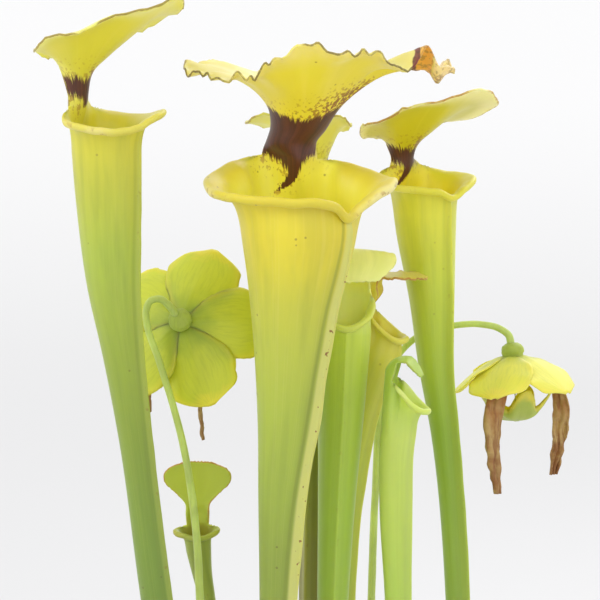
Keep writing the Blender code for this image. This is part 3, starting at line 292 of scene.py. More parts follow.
# Flowers: scape as (x, y, z, radius) from the rhizome to the bloom, the bloom's facing and its sepals'
# first angle round it, sepal (length, half width, bend), the umbrella's radius, and the withered petals as
# (sepal they hang behind, reach before they hang, length hanging, half width).
FLOWERS = {
    "left": dict(
        scape=(
            (-0.0430, -0.0020, LEAF_FOOT, 0.0021), (-0.0500, -0.0035, 0.230, 0.0020),
            (-0.0621, -0.0050, 0.3533, 0.0019), (-0.0634, -0.0050, 0.3808, 0.0018),
            (-0.0700, -0.0050, 0.4287, 0.0017), (-0.0805, -0.0045, 0.4660, 0.0016),
            (-0.0857, -0.0040, 0.4821, 0.0016), (-0.0862, -0.0035, 0.4885, 0.0016),
            (-0.0842, -0.0030, 0.4930, 0.0016), (-0.0800, -0.0020, 0.4938, 0.0016),
            (-0.0754, 0.0000, 0.4900, 0.0017), (-0.0726, 0.0020, 0.4858, 0.0018),
        ),
        facing=(0.22, 0.87, -0.44), turn=102, sepal=(0.0370, 0.0172, 0.30), umbrella=0.0210,
        petals=((2, 0.0240, 0.0300, 0.0024), (3, 0.0230, 0.0260, 0.0024)),
    ),
    "right": dict(
        scape=(
            (0.0155, 0.0500, LEAF_FOOT, 0.0021), (0.0165, 0.0520, 0.230, 0.0020),
            (0.0190, 0.0570, 0.3416, 0.0019), (0.0208, 0.0620, 0.3902, 0.0018),
            (0.0250, 0.0660, 0.4384, 0.0017), (0.0310, 0.0700, 0.4550, 0.0016),
            (0.0430, 0.0725, 0.4660, 0.0016), (0.0570, 0.0730, 0.4700, 0.0016),
            (0.0720, 0.0725, 0.4710, 0.0016), (0.0810, 0.0718, 0.4690, 0.0017),
            (0.0855, 0.0712, 0.4655, 0.0018), (0.0865, 0.0708, 0.4615, 0.0019),
        ),
        facing=(0.06, -0.10, -0.99), turn=4, sepal=(0.0285, 0.0155, 0.62), umbrella=0.0195,
        petals=((4, 0.0250, 0.0480, 0.0046), (2, 0.0250, 0.0440, 0.0040)),
    ),
}

# Half width of a sepal along its length, as a share of the widest
SEPAL_WIDTH = ((0.0, 0.24), (0.2, 0.62), (0.45, 0.97), (0.65, 1.0), (0.85, 0.72), (1.0, 0.10))

# Receptacle, ovary and style: (place along the flower's axis, radius)
HEART_PROFILE = (
    (-0.0036, 0.0026), (-0.0024, 0.0044), (0.0, 0.0054), (0.0030, 0.0050), (0.0060, 0.0058),
    (0.0100, 0.0056), (0.0140, 0.0034), (0.0175, 0.0014), (0.0345, 0.0014),
)

# Flowers: from the stalk's tip to the heart, where a sepal starts from the axis and towards the face, and
# how deep the umbrella lies at its middle and how far its lobes come back
STALK_TO_HEART = 0.0030
SEPAL_SEAT = 0.0030
SEPAL_DEPTH = 0.0028
UMBRELLA_DEPTH = 0.0340
UMBRELLA_BOWL = 0.0160

# How far a sepal is cupped (share of its half width), twisted, waved and hollowed along its midrib, how deep
# the umbrella is cut between its lobes (share of its radius), and the height of its ribs
SEPAL_CUP = 0.22
SEPAL_TWIST = 0.0012
SEPAL_WAVE = 0.0009
MIDRIB_DEPTH = 0.0005
LOBE_DEPTH = 0.20
UMBRELLA_RIB = 0.0006

# A withered petal: how far from the flower's axis it starts, just clear of the ovary, how far behind its
# sepal it lies, its width along it, how far it has swayed out at each share of its hanging part, its twist
PETAL_SEAT = 0.0062
PETAL_BEHIND = 0.0042
PETAL_WIDTH = (0.55, 0.80, 0.95, 1.0, 0.92, 0.45)
PETAL_SWAY = ((0.22, 0.10), (0.55, 0.06), (1.0, -0.04))
PETAL_TWIST = 1.3

# The tube: how much closer together its points lie near the wing, how sharp the wing's ridge is, at what
# radius the noises round it are read, and how large the lumps of the tube and of the wing's margin are
CROWDING = 0.5
WING_SHARPNESS = 1.3
NOISE_RADIUS = 0.02
TUBE_LUMP = 0.040
WING_LUMP = 0.012

# The lip: over what angle it grows from the back sheet's corners, its roll's angle, how uneven its crest is
# and in what lumps (shares of the leaf's size), which way it goes out over the crest, how far the neck, the
# lip and the back sheet pull the flare their own way, the share of its rows that the roll takes, and the
# step below the neck that tells the tube's direction there
LIP_GROWTH = math.radians(30)
LIP_ROLL_ANGLE = math.radians(215)
LIP_UNEVEN = 0.016
LIP_LUMP = 0.28
LIP_OUT = 0.97
LIP_UP = 0.24
NECK_PULL = 0.45
LIP_PULL = 0.42
BACK_PULL = 0.33
ROLL_SHARE = 0.36
NECK_STEP = 0.004

# The hood: how far round it reaches to each side and over what angle its rise is evened out further in, in
# degrees; the frill along its margin (strength where a look gives none, how far in it reaches, height,
# radians of wave from the middle to a side); and the notch in the main hood's right end (distance beside
# the mouth, depth, width)
HOOD_HALF_ANGLE = 150.0
HOOD_CALMING = 26.0
FRILL_USUAL = 0.25
FRILL_REACH = 0.0032
FRILL_HEIGHT = 0.0010
FRILL_WAVES = 93.6
TIP_NOTCH = (0.0630, 0.0055, 0.0026)

# How steeply a hood leaves its column at the sides, how much less at its front, and how wide that front is
# in degrees; where the ruffle starts in its wave; and the crinkles near a margin, coarse and fine: how far
# in they reach, and their (height, lump), all shares of the leaf's size
HOOD_STEEP = 3.0
HOOD_EASED = 1.9
HOOD_FRONT = 42.0
RUFFLE_START = 0.7
CRINKLE_REACH = 0.16
CRINKLES = ((0.045, 0.17), (0.022, 0.075))

# How the maroon's tongue leans to one side as it goes down, per metre, its width across the column, how far
# round the back of the tube the column's own width reaches, in radians, and the maroon's half width and by
# what factor it goes on round the column's margin
TONGUE_LEAN = 80.0
TONGUE_WIDTH = 0.18
TUBE_BACK = 0.45
STAIN_HALF_WIDTH = 0.020
STAIN_OVERLAP = 1.03

# Distance to the margin that is told to the materials where there is no margin
FAR_FROM_EDGE = 0.05

# The mix stands this far clear of the pot's wall. It swells within one radius, is level out to another and
# is drawn down a little from there to the wall. Crumbs on it: name, colour, count, subdivisions, smallest and
# largest radius, and how far out they lie and how clear of the stems.
SOIL_GAP = 0.0006
SOIL_SWELL_RADIUS = 0.070
SOIL_LEVEL_RADIUS = 0.066
SOIL_DRAWN_DOWN = 0.0016
CRUMBS = (("peat", (66, 50, 38), 620, 1, 0.0010, 0.0026), ("grit", (196, 190, 176), 90, 2, 0.0008, 0.0019))
CRUMB_REACH = 0.075
STEM_CLEARANCE = 0.006

# Leaf colours, as they look in soft daylight (red, green, blue from 0 to 255):
#   wing: how strongly the wing and the painted shade of the groove beside it show; wing_pale: its colour
#   tube: (share of the way from the mix to the mouth, colour); inside, hood, top: throat, underside, upper side
#   lip, crest: the rolled lip and its pale corners; edge: the margin; frill: how frilled the margin is
#   tip: bands across the hood as (from, to, colour, strength), from and to beside the mouth
#   stain: how high the maroon starts above the mouth at its middle and at its sides, how high it ends there,
#     and how far it runs down the midrib; flecks: (strength, how much further they reach at the right)
#   specks: how many brown specks there are, and how strong
MAROON = (78, 38, 25)
FLECK_BROWN = (128, 66, 22)
LIP_BROWN = (150, 104, 44)
SPECK_BROWN = (96, 70, 30)
LOOKS = {
    "pitcher_main": dict(
        wing=0.85, wing_pale=(212, 210, 118),
        tube=((0.0, (100, 122, 50)), (0.45, (128, 150, 56)), (0.63, (146, 164, 62)), (0.70, (161, 180, 66)),
              (0.80, (174, 190, 68)), (0.88, (189, 197, 70)), (0.93, (200, 200, 66)), (0.97, (218, 206, 56)),
              (1.0, (226, 208, 54))),
        lip=(222, 202, 60), crest=(246, 226, 150), inside=(252, 236, 82), hood=(230, 214, 62),
        top=(228, 212, 122), edge=(96, 84, 34), frill=1.0,
        tip=(
            (-0.0700, -0.0470, (132, 104, 54), 0.55), (0.0550, 0.0580, (112, 36, 30), 0.95),
            (0.0580, 0.0655, (222, 150, 48), 0.75), (0.0660, 0.0900, (238, 206, 150), 0.8),
        ),
        stain=(0.0034, 0.0132, 0.0290, 0.0500, 0.0165), flecks=(0.9, 0.0060), specks=0.5,
    ),
    "pitcher_left": dict(
        wing=0.3, wing_pale=(190, 196, 90),
        tube=((0.0, (88, 112, 44)), (0.45, (112, 138, 50)), (0.58, (125, 152, 54)), (0.69, (136, 158, 54)),
              (0.79, (154, 173, 58)), (0.90, (176, 194, 70)), (0.98, (198, 198, 64)), (1.0, (206, 202, 62))),
        lip=(216, 204, 84), crest=(232, 216, 128), inside=(206, 200, 54), hood=(210, 204, 66),
        top=(226, 222, 118), edge=(130, 110, 44),
        stain=(0.0090, 0.0120, 0.0190, 0.0210, 0.0040), flecks=(0.9, 0.0), specks=0.4,
    ),
    "pitcher_right": dict(
        wing=0.22, wing_pale=(190, 196, 80),
        tube=((0.0, (106, 136, 48)), (0.60, (154, 182, 66)), (0.74, (152, 184, 54)), (0.86, (190, 210, 64)),
              (0.93, (212, 224, 70)), (1.0, (230, 228, 68))),
        lip=(226, 216, 60), crest=(238, 226, 92), inside=(240, 222, 60), hood=(198, 192, 34),
        top=(238, 228, 160), edge=(168, 120, 40),
        stain=(0.0065, 0.0090, 0.0160, 0.0190, 0.0140), flecks=(0.9, 0.0), specks=0.2,
    ),
    "pitcher_behind": dict(
        wing=0.3, wing_pale=(170, 176, 70),
        tube=((0.0, (100, 118, 48)), (0.60, (146, 138, 62)), (0.85, (156, 166, 60)), (1.0, (180, 188, 60))),
        lip=(196, 192, 58), crest=(212, 204, 80), inside=(196, 192, 56), hood=(226, 220, 84),
        top=(218, 214, 84), edge=(150, 130, 50),
        stain=(0.0040, 0.0050, 0.0120, 0.0140, 0.0060), flecks=(0.35, 0.0), specks=0.4,
    ),
    "pitcher_young_front": dict(
        wing=0.12, wing_pale=(196, 214, 96),
        tube=((0.0, (112, 144, 52)), (0.60, (154, 184, 62)), (0.75, (168, 198, 68)), (0.92, (175, 199, 60)),
              (1.0, (194, 212, 68))),
        lip=(210, 220, 90), crest=(224, 230, 124), inside=(240, 254, 160), hood=(248, 250, 140),
        top=(248, 250, 150), edge=(216, 216, 120), stain=None, specks=0.1,
    ),
    "pitcher_yellow": dict(
        wing=0.2, wing_pale=(212, 206, 80),
        tube=((0.0, (100, 126, 44)), (0.60, (168, 186, 58)), (0.85, (204, 212, 70)), (1.0, (214, 208, 70))),
        lip=(222, 212, 78), crest=(222, 200, 80), inside=(206, 196, 66), hood=(212, 200, 80),
        top=(206, 192, 70), edge=(170, 116, 48),
        stain=None, specks=0.3,
    ),
    "pitcher_young_right": dict(
        wing=0.15, wing_pale=(206, 224, 110),
        tube=((0.0, (110, 146, 54)), (0.60, (158, 192, 72)), (0.90, (192, 214, 92)), (1.0, (200, 220, 100))),
        lip=(206, 226, 104), crest=(220, 234, 132), inside=(186, 212, 84), hood=(168, 196, 78),
        top=(172, 200, 82), edge=(160, 170, 76),
        stain=None, specks=0.05,
    ),
    "pitcher_small": dict(
        wing=0.3, wing_pale=(160, 170, 60),
        tube=((0.0, (84, 108, 36)), (0.60, (128, 150, 48)), (1.0, (146, 160, 50))),
        lip=(158, 168, 54), crest=(168, 168, 62), inside=(140, 146, 46), hood=(164, 180, 58),
        top=(158, 174, 56), edge=(160, 104, 48),
        stain=None, specks=0.3,
    ),
}

# Other colours, in the same way. Sepals: at the heart, on the blade and at the tip. The right bloom's are
# painted lighter, painted light on its shaded underside, and the left bloom's darker, painted shade.
SEPALS_PAINTED_LIT_AND_SHADED = {
    "left": ((138, 160, 38), (184, 194, 50), (216, 203, 58)),
    "right": ((176, 186, 58), (236, 228, 84), (250, 226, 92)),
}
MARGIN_RUST = (188, 120, 44)
UMBRELLA_RIM = (222, 208, 70)
SCAPE_GREEN = (188, 206, 108)
UMBRELLA_GREEN = (168, 184, 74)
DRY_DARK = (126, 70, 38)
DRY_MIDDLE = (160, 106, 56)
DRY_PALE = (186, 156, 100)
DRY_END = (150, 104, 60)
RHIZOME_BROWN = (84, 58, 40)
RHIZOME_RED = (120, 66, 48)
SOIL_DARK = (46, 34, 27)
SOIL_PALE = (92, 70, 52)
MOSS_GREEN = (92, 112, 44)
POT_GREY = (52, 53, 55)
SCUFF_GREY = (120, 118, 114)
SPLASH_BROWN = (96, 82, 66)
FLOOR_PALE = (216, 216, 217)

# Materials: how far light scatters under the skin in red, green and blue, and the scale of it in metres, the
# roughness of a leaf's thin gloss, and how softly the bands of a hood's tip end
SCATTER_RADIUS = (1.0, 0.85, 0.25)
SCATTER_SCALE = 0.0035
COAT_ROUGHNESS = 0.35
BAND_SOFTNESS = 0.0008

# Scales of a leaf's noises, the first four along its veins: twice across, then along in turns per metre
BLOTCHES = (2.2, 2.2, 16.0)
VEINS = (26.0, 26.0, 9.0)
STREAKS = (16.0, 16.0, 12.0)
FRAYING = (34.0, 34.0, 70.0)
NICKS = (520.0, 520.0, 364.0)
FLECKS = (620.0, 620.0, 434.0)
SPECKS = 230.0
CLOUDS = 55.0
GRAIN = 700.0

# Where a hood's pale and dark margins fade in, and the maroon's edge and flecks, by their depth in metres
PALE_MARGIN = (0.0155, 0.0060)
DARK_MARGIN = (0.0015, 0.0008)
STAIN_EDGE = (-0.0010, 0.0012)
FLECK_REACH = (-0.0150, -0.0005)
FRAY_DEPTH = 0.014

# Lights: name, where they stand from the camera's aim, their size and their power
LIGHTS = (
    ("key", (-1.2, -0.9, 1.0), 0.9, 8.0),
    ("fill", (0.5, -2.0, 0.9), 1.0, 4.0),
    ("glow", (0.7, 1.3, 1.0), 1.0, 9.0),
)
WHITE = (1.0, 1.0, 1.0, 1.0)
SKY_STRENGTH = 1.02

# The floor starts to glow of itself at the near distance, and reaches its full glow at the far one
FLOOR_RADIUS = 40.0
FLOOR_NEAR = 0.9
FLOOR_FAR = 9.0
FLOOR_GLOW = 0.25

SEED = 7
UP = np.array([0.0, 0.0, 1.0])


def smooth_through(keys, where):
    """Values at the places in where, on a smooth curve through keys, whose first column is the place."""
    keys = np.asarray(keys, float)
    x, y = keys[:, 0], keys[:, 1:]
    slope = np.gradient(y, x, axis=0)
    where = np.clip(np.asarray(where, float), x[0], x[-1])
    i = np.clip(np.searchsorted(x, where, side="right") - 1, 0, len(x) - 2)
    span = (x[i + 1] - x[i])[:, None]
    s = ((where - x[i]) / span[:, 0])[:, None]
    ends = y[i] * (1 + 2 * s) * (1 - s) ** 2 + y[i + 1] * s * s * (3 - 2 * s)
    return ends + slope[i] * span * s * (1 - s) ** 2 + slope[i + 1] * span * s * s * (s - 1)


def smooth_step(x):
    """0 up to 0, 1 from 1 on, smooth in between."""
    x = np.clip(x, 0.0, 1.0)
    return x * x * (3 - 2 * x)


def bell(x, width):
    """1 where x is 0, falling smoothly to 0 a few widths away."""
    return np.exp(-((x / width) ** 2))


def unit_vector(vector):
    return vector / np.linalg.norm(vector)


def unit_rows(rows):
    return rows / np.linalg.norm(rows, axis=1)[:, None]


def compass(azimuth):
    """Unit vectors in the horizontal plane at these azimuths."""
    azimuth = np.asarray(azimuth, float)
    return np.stack([np.sin(azimuth), -np.cos(azimuth), np.zeros_like(azimuth)], axis=-1)


def circle(sides):
    """The angles of this many points round a circle."""
    return np.arange(sides) / sides * 2 * math.pi


def ring(turn, r, z):
    """Points at these angles on a level circle, with one height or one for each point."""
    return np.stack([r * np.cos(turn), r * np.sin(turn), np.broadcast_to(z, len(turn))], axis=1)


def wobble(points, size, seed, waves=7):
    """A smooth irregular field from -1 to 1 over points, with lumps of about this size."""
    draw = np.random.default_rng(seed)
    points = np.atleast_2d(points)
    total = np.zeros(len(points))
    for _ in range(waves):
        direction = draw.normal(size=3)
        direction *= draw.uniform(0.6, 1.6) / np.linalg.norm(direction)
        total += np.sin(points @ direction * (2 * math.pi / (2 * size)) + draw.uniform(0, 2 * math.pi))
    return total / math.sqrt(waves) / 1.4


class Sheet:
    """Rows of points joined into one surface, with named values at each point for the materials."""

    def __init__(self):
        self.points, self.values, self.faces = [], [], []
        self.size = 0
        self.last = None

    def row(self, points, **values):
        """Adds points that aren't joined to anything yet, and returns their numbers."""
        count = len(points)
        self.points.append(np.asarray(points, float))
        self.values.append({key: np.broadcast_to(value, count) for key, value in values.items()})
        self.size += count
        return np.arange(self.size - count, self.size)

    def stack(self, points, closed=False, flip=False, **values):
        """Adds a row and joins it to the one before it, closed to a ring or turned inside out if asked."""
        row, before = self.row(points, **values), self.last
        if before is not None:
            self.join(*((row, before) if flip else (before, row)), closed)
        self.last = row
        return row

    def cap(self, place, rim, **values):
        """Closes a ring of points to one point."""
        centre = int(self.row([place], **values)[0])
        self.faces += [(centre, int(b), int(a)) for a, b in zip(rim, np.roll(rim, -1))]

    def join(self, lower, upper, closed=False):
        """Faces between two rows. The upper row may have twice as many segments."""
        if len(upper) == 2 * len(lower) - 1:
            a, b, c, m, d = lower[:-1], lower[1:], upper[:-2:2], upper[1::2], upper[2::2]
            for corners in ((a, m, c), (a, b, m), (b, d, m)):
                self.faces += np.stack(corners, axis=1).tolist()
            return
        a, b, c, d = lower, np.roll(lower, -1), upper, np.roll(upper, -1)
        faces = np.stack((a, b, d, c), axis=1).tolist()
        self.faces += faces if closed else faces[:-1]

    def mesh(self, name):
        made = bpy.data.meshes.new(name)
        made.from_pydata(np.concatenate(self.points).tolist(), [], self.faces)
        for key in self.values[0]:
            column = np.concatenate([values[key] for values in self.values]).astype(np.float32)
            made.attributes.new(key, "FLOAT", "POINT").data.foreach_set("value", column)
        made.shade_smooth()
        return made


def mesh_of(bm, name):
    """A mesh of the faces in bm, which is used up."""
    mesh = bpy.data.meshes.new(name)
    bm.to_mesh(mesh)
    bm.free()
    return mesh


def add_object(name, data):
    obj = bpy.data.objects.new(name, data)
    bpy.context.scene.collection.objects.link(obj)
    return obj


def add_piece(name, mesh, finishes, nodes=(), wall=0.0):
    """A piece of the plant that rides on the part and stands for these CAD nodes, a sheet with a wall."""
    obj = add_object(name, mesh)
    for finish in finishes:
        mesh.materials.append(finish)
    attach(obj, "root")
    for node in nodes:
        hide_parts(node)
    if wall:
        made = obj.modifiers.new("wall", "SOLIDIFY")
        made.thickness, made.offset, made.material_offset = wall, 0.0, len(finishes) - 1
    return obj


class Pitcher:
    """The middle surface of one pitcher leaf: tube, flared lip, column and hood, as one sheet."""

    def __init__(self, name, spec):
        self.spec, self.look, self.sheet = spec, LOOKS[name], Sheet()
        self.around, self.tube_rows, self.lip_rows, self.back_rows, self.doublings = spec["divisions"]
        self.seed = SEED + sorted(PITCHERS).index(name)
        self.spine = np.asarray(spec["spine"], float)[:, [2, 0, 1, 3]]
        self.mouth = np.asarray(spec["spine"][-1][:3], float)
        self.neck_z = self.mouth[2] - spec["neck_drop"]
        self.yaw, self.wing_at = math.radians(spec["yaw"]), math.radians(spec["wing_at"])
        self.unit = spec["unit"]
        self.size = spec["spine"][-1][3] if self.unit == METRE else self.unit
        self.rim_keys = np.asarray(spec["rim"], float) * (1, self.unit, self.unit)
        self.forward, self.right = compass(self.yaw), compass(self.yaw + math.pi / 2)
        # Azimuths round the tube from its wing on, closer together near the wing
        turn = circle(self.around)
        self.azimuth = self.wing_at + turn - CROWDING * np.sin(turn)
        if "hood" in spec:
            self.hood_keys = self.shaped_hood(np.asarray(spec["hood"], float) * (1, self.unit, self.unit))
            angle, rise = self.hood_keys[:, 0], self.hood_keys[:, 2]
            calm = [np.average(rise, weights=bell(angle - a, HOOD_CALMING)) for a in angle]
            self.calm_keys = np.stack([angle, calm], axis=1)

    def shaped_hood(self, keys):
        """The hood's margin, raised towards the front by the tilt and drawn out by the skew."""
        amount, towards = self.spec["skew"]
        turn = np.radians(keys[:, 0])
        keys[:, 1] *= 1 + amount * np.cos(turn - math.radians(towards))
        keys[:, 2] += (self.spec["lift"] + self.spec["tilt"] * np.cos(turn)) * self.unit
        return keys

    def round(self, azimuth):
        """Outward directions at azimuths measured from the pitcher's own front."""
        return compass(np.asarray(azimuth, float) + self.yaw)

    def axis_at(self, z):
        """The middle of the tube at a height, and its radius there."""
        x, y, radius = smooth_through(self.spine, [z])[0]
        return np.array([x, y, z]), radius

    def tube_ring(self, z):
        """Points round the tube with its wing at a height. Keeps how far each lies on the wing's ridge."""
        middle, radius = self.axis_at(z)
        grown = smooth_step((z - SOIL_TOP - WING_START) / WING_FADE)
        grown *= 1 - WING_ENDS_LOWER * smooth_step((z - self.neck_z + WING_FADE) / WING_FADE)
        arc = (self.azimuth - self.wing_at + math.pi) % (2 * math.pi) - math.pi
        ridge = np.exp(-np.abs(arc * radius / WING_HALF_WIDTH) ** WING_SHARPNESS)
        out = self.round(self.azimuth)
        places = out * NOISE_RADIUS + UP * z
        uneven = TUBE_UNEVEN * wobble(places, TUBE_LUMP, self.seed)
        ragged = WING_RAGGED * wobble(places, WING_LUMP, self.seed + 1)
        reach = radius * (1 + uneven) + self.spec["wing_height"] * grown * ridge * (1 + ragged)
        self.ridge = ridge * grown
        return middle + out * reach[:, None]

    def rim_at(self, azimuth):
        """Points of the rim's crest, and outward directions there."""
        wrapped = (np.degrees(azimuth) + 180) % 360 - 180
        reach, rise = smooth_through(self.rim_keys, wrapped).T
        out = self.round(azimuth)
        return self.mouth + out * reach[:, None] + UP * rise[:, None], out

    def section(self, row, t):
        """One key section of the sheet behind the mouth, t from -1 at its right edge to 1 at its left."""
        kind, *values = row
        if kind == "hood":
            return self.hood_section(values[0], t)
        if kind == "span":
            forward, rise, half_width, arch, sweep = (v * self.unit for v in values)
            middle = self.mouth + self.forward * (forward + sweep * t**2)[:, None]
            return middle - self.right * (t * half_width)[:, None] + UP * (rise + arch * (1 - t**2))[:, None]
        rise, radius, half_angle, back, side = values
        centre = self.mouth + (UP * rise - self.forward * back + self.right * side) * self.unit
        azimuth = np.radians(t * half_angle)
        azimuth = -azimuth if kind == "post" else math.pi + azimuth
        return centre + self.round(azimuth) * radius * self.unit

    def hood_section(self, share, t):
        """A section at a share of the way from the column's top to the hood's ruffled margin."""
        angle = -t * HOOD_HALF_ANGLE
        reach, rise = smooth_through(self.hood_keys, angle).T
        calm = smooth_through(self.calm_keys, angle)[:, 0]
        height, count = self.spec["ruffle"]
        rise = rise + height * np.sin(np.radians(angle) * count + RUFFLE_START)
        top_rise, top_radius = (v * self.unit for v in self.spec["hood_foot"])
        steep = HOOD_STEEP - HOOD_EASED * bell(angle, HOOD_FRONT)
        lift = top_rise + (calm - top_rise) * (1 - (1 - share) ** steep) + (rise - calm) * share**2
        out = top_radius + (reach - top_radius) * share
        back, side = (v * self.unit for v in self.spec["axis"])
        centre = self.mouth - self.forward * back + self.right * side
        return centre + self.round(np.radians(angle)) * out[:, None] + UP * lift[:, None]

    def stain_at(self, points, across):
        """How deep inside the maroon of the column each point lies, in metres, negative outside it."""
        if not self.look["stain"]:
            return np.full(len(points), -FAR_FROM_EDGE)
        low, low_side, high, high_side, tongue = self.look["stain"]
        height = points[:, 2] - self.mouth[2]
        aside = np.minimum(np.abs(across), 1.0)
        lean = TONGUE_LEAN * np.clip(low - height, 0, None)
        low = low + (low_side - low) * aside - tongue * bell(across - lean, TONGUE_WIDTH)
        high = high + (high_side - high) * aside**2
        beside = STAIN_HALF_WIDTH * (STAIN_OVERLAP - np.abs(across))
        return np.minimum(np.minimum(height - low, high - height), beside)

    def add_row(self, points, azimuth, rise, along, across, edge, lip=0.0, wing=0.0, closed=True):
        """Stacks a row with what the materials read: place along the leaf, veins, margin, lip, wing, stain."""
        return self.sheet.stack(
            points, closed, rise=rise, vein_x=np.cos(azimuth), vein_y=np.sin(azimuth), vein_z=along,
            edge=edge, lip=lip, wing=wing, stain=self.stain_at(points, across),
            beside=(points - self.mouth) @ self.right, over=points[:, 2] - self.mouth[2],
        )

    def tube(self):
        foot_z = self.spine[0, 0]
        across = (self.azimuth % (2 * math.pi) - math.pi) / TUBE_BACK
        for z in foot_z + (self.neck_z - foot_z) * np.linspace(0, 1, self.tube_rows) ** 0.9:
            h = np.clip((z - SOIL_TOP) / (self.neck_z - SOIL_TOP), 0, 1)
            points = self.tube_ring(z)
            row = self.add_row(points, self.azimuth, h, z, across, FAR_FROM_EDGE, wing=self.ridge)
            if z == foot_z:
                self.sheet.cap(points.mean(axis=0), row, **{k: v[:1] for k, v in self.sheet.values[-1].items()})

    def lip(self):
        """The flared and rolled lip, and at the back the start of the sheet that rises behind the mouth."""
        spec, azimuth = self.spec, self.azimuth
        seam_right, seam_left = np.radians(spec["seam"])
        first = int(np.argmin(np.abs(azimuth - seam_right)))
        last = int(np.argmin(np.abs(azimuth - (2 * math.pi - seam_left))))
        start, end = azimuth[first], azimuth[last]
        t = np.clip(2 * (azimuth - start) / (end - start) - 1, -1, 1)
        away = np.where(azimuth < start, start - azimuth, azimuth - end)
        away = np.minimum(np.clip(away, 0, None), np.clip(azimuth + 2 * math.pi - end, 0, None))
        lip = smooth_step(away / LIP_GROWTH)[:, None]
        crest, out = self.rim_at(azimuth)
        uneven = self.size * LIP_UNEVEN * wobble(crest, self.size * LIP_LUMP, self.seed + 2)
        crest = crest + UP * uneven[:, None] * lip
        neck, below = self.tube_ring(self.neck_z), self.tube_ring(self.neck_z - NECK_STEP)
        leaving = unit_rows(neck - below)
        rising = unit_rows(self.section(spec["back"][0], t) - neck)
        outward = out * LIP_OUT + UP * LIP_UP
        reach = np.linalg.norm(crest - neck, axis=1)[:, None]
        p1 = neck + leaving * spec["neck_drop"] * NECK_PULL
        p2 = crest - (outward * lip * LIP_PULL + rising * (1 - lip) * BACK_PULL) * reach
        flare_end = 1 - ROLL_SHARE * lip
        across = (azimuth - (start + end) / 2) * 2 / (end - start)
        for k in range(1, self.lip_rows + 1):
            f = k / self.lip_rows
            g = np.minimum(f / flare_end, 1.0)
            point = neck * (1 - g) ** 3 + p1 * 3 * g * (1 - g) ** 2 + p2 * 3 * g * g * (1 - g) + crest * g**3
            turn = np.clip((f - flare_end) / np.maximum(1 - flare_end, 1e-6), 0, 1) * LIP_ROLL_ANGLE
            point = point + spec["lip_roll"] * lip * (np.sin(turn) * outward - (1 - np.cos(turn)) * UP)
            along = self.neck_z + f * spec["neck_drop"] * 1.4
            ridge = self.ridge * (1 - f)
            row = self.add_row(point, azimuth, 1 + f, along, across, FAR_FROM_EDGE, f * lip[:, 0], ridge)
        self.sheet.last = row[first : last + 1]
        return start, end, t[first : last + 1]

    def back(self, start, end, t):
        """The column and the hood, from the back of the rim to the hood's margin."""

        def azimuth_at(t):
            return start + (t + 1) / 2 * (end - start)

        def sections(t):
            azimuth = azimuth_at(t)
            neck, radius = self.axis_at(self.neck_z)
            keys = [neck + self.round(azimuth) * radius, self.rim_at(azimuth)[0]]
            return np.stack(keys + [self.section(key, t) for key in self.spec["back"]])

        gaps = np.linalg.norm(np.diff(sections(np.array([-0.6, 0.0, 0.6])), axis=0), axis=2).mean(axis=1)
        knots = np.concatenate([[0.0], np.cumsum(gaps)])
        length = knots[-1] - knots[1]
        for k in range(1, self.back_rows + 1):
            if k in self.doublings:
                t = np.sort(np.concatenate([t, (t[1:] + t[:-1]) / 2]))
            share = k / self.back_rows
            table = np.concatenate([knots[:, None], sections(t).reshape(len(knots), -1)], axis=1)
            points = smooth_through(table, [knots[1] + length * share])[0].reshape(-1, 3)
            sides = np.concatenate([[0.0], np.cumsum(np.linalg.norm(np.diff(points, axis=0), axis=1))])
            edge = np.minimum(np.minimum(sides, sides[-1] - sides), length * (1 - share))
            points = self.ruffled(points, t, edge, share)
            along = self.mouth[2] + length * share
            self.add_row(points, azimuth_at(t), 2 + share, along, t, edge, closed=False)

    def ruffled(self, points, t, edge, share):
        """A row of the hood with its margin crinkled and frilled, and a notch in the main hood's right end."""
        crinkle = np.exp(-edge / (CRINKLE_REACH * self.size)) * smooth_step((share - 0.25) / 0.3)
        lift = sum(height * wobble(points, self.size * lump, self.seed + 3 + i)
                   for i, (height, lump) in enumerate(CRINKLES))
        points = points + UP * (self.size * lift * crinkle)[:, None]
        if "hood" in self.spec:
            frill = np.exp(-edge / FRILL_REACH) * smooth_step((share - 0.5) / 0.4)
            frill = frill * self.look.get("frill", FRILL_USUAL)
            waves = np.sin(t * FRILL_WAVES + 2.2 * wobble(points, 0.010, self.seed + 5))
            points = points + UP * (FRILL_HEIGHT * frill * waves)[:, None]
        if "tip" in self.look:
            place, depth, width = TIP_NOTCH
            points = points - UP * (depth * bell((points - self.mouth) @ self.right - place, width))[:, None]
        return points

    def mesh(self, name):
        self.tube()
        self.back(*self.lip())
        return self.sheet.mesh(name)


def frames_along(points):
    """Two directions across a line of points, which turn as little as possible along it."""
    along = unit_rows(np.gradient(points, axis=0))
    across = np.zeros_like(along)
    across[0] = unit_vector(np.cross(along[0], (0.0, 1.0, 0.0)))
    for i in range(1, len(points)):
        across[i] = unit_vector(across[i - 1] - along[i] * np.dot(across[i - 1], along[i]))
    return across, np.cross(along, across)


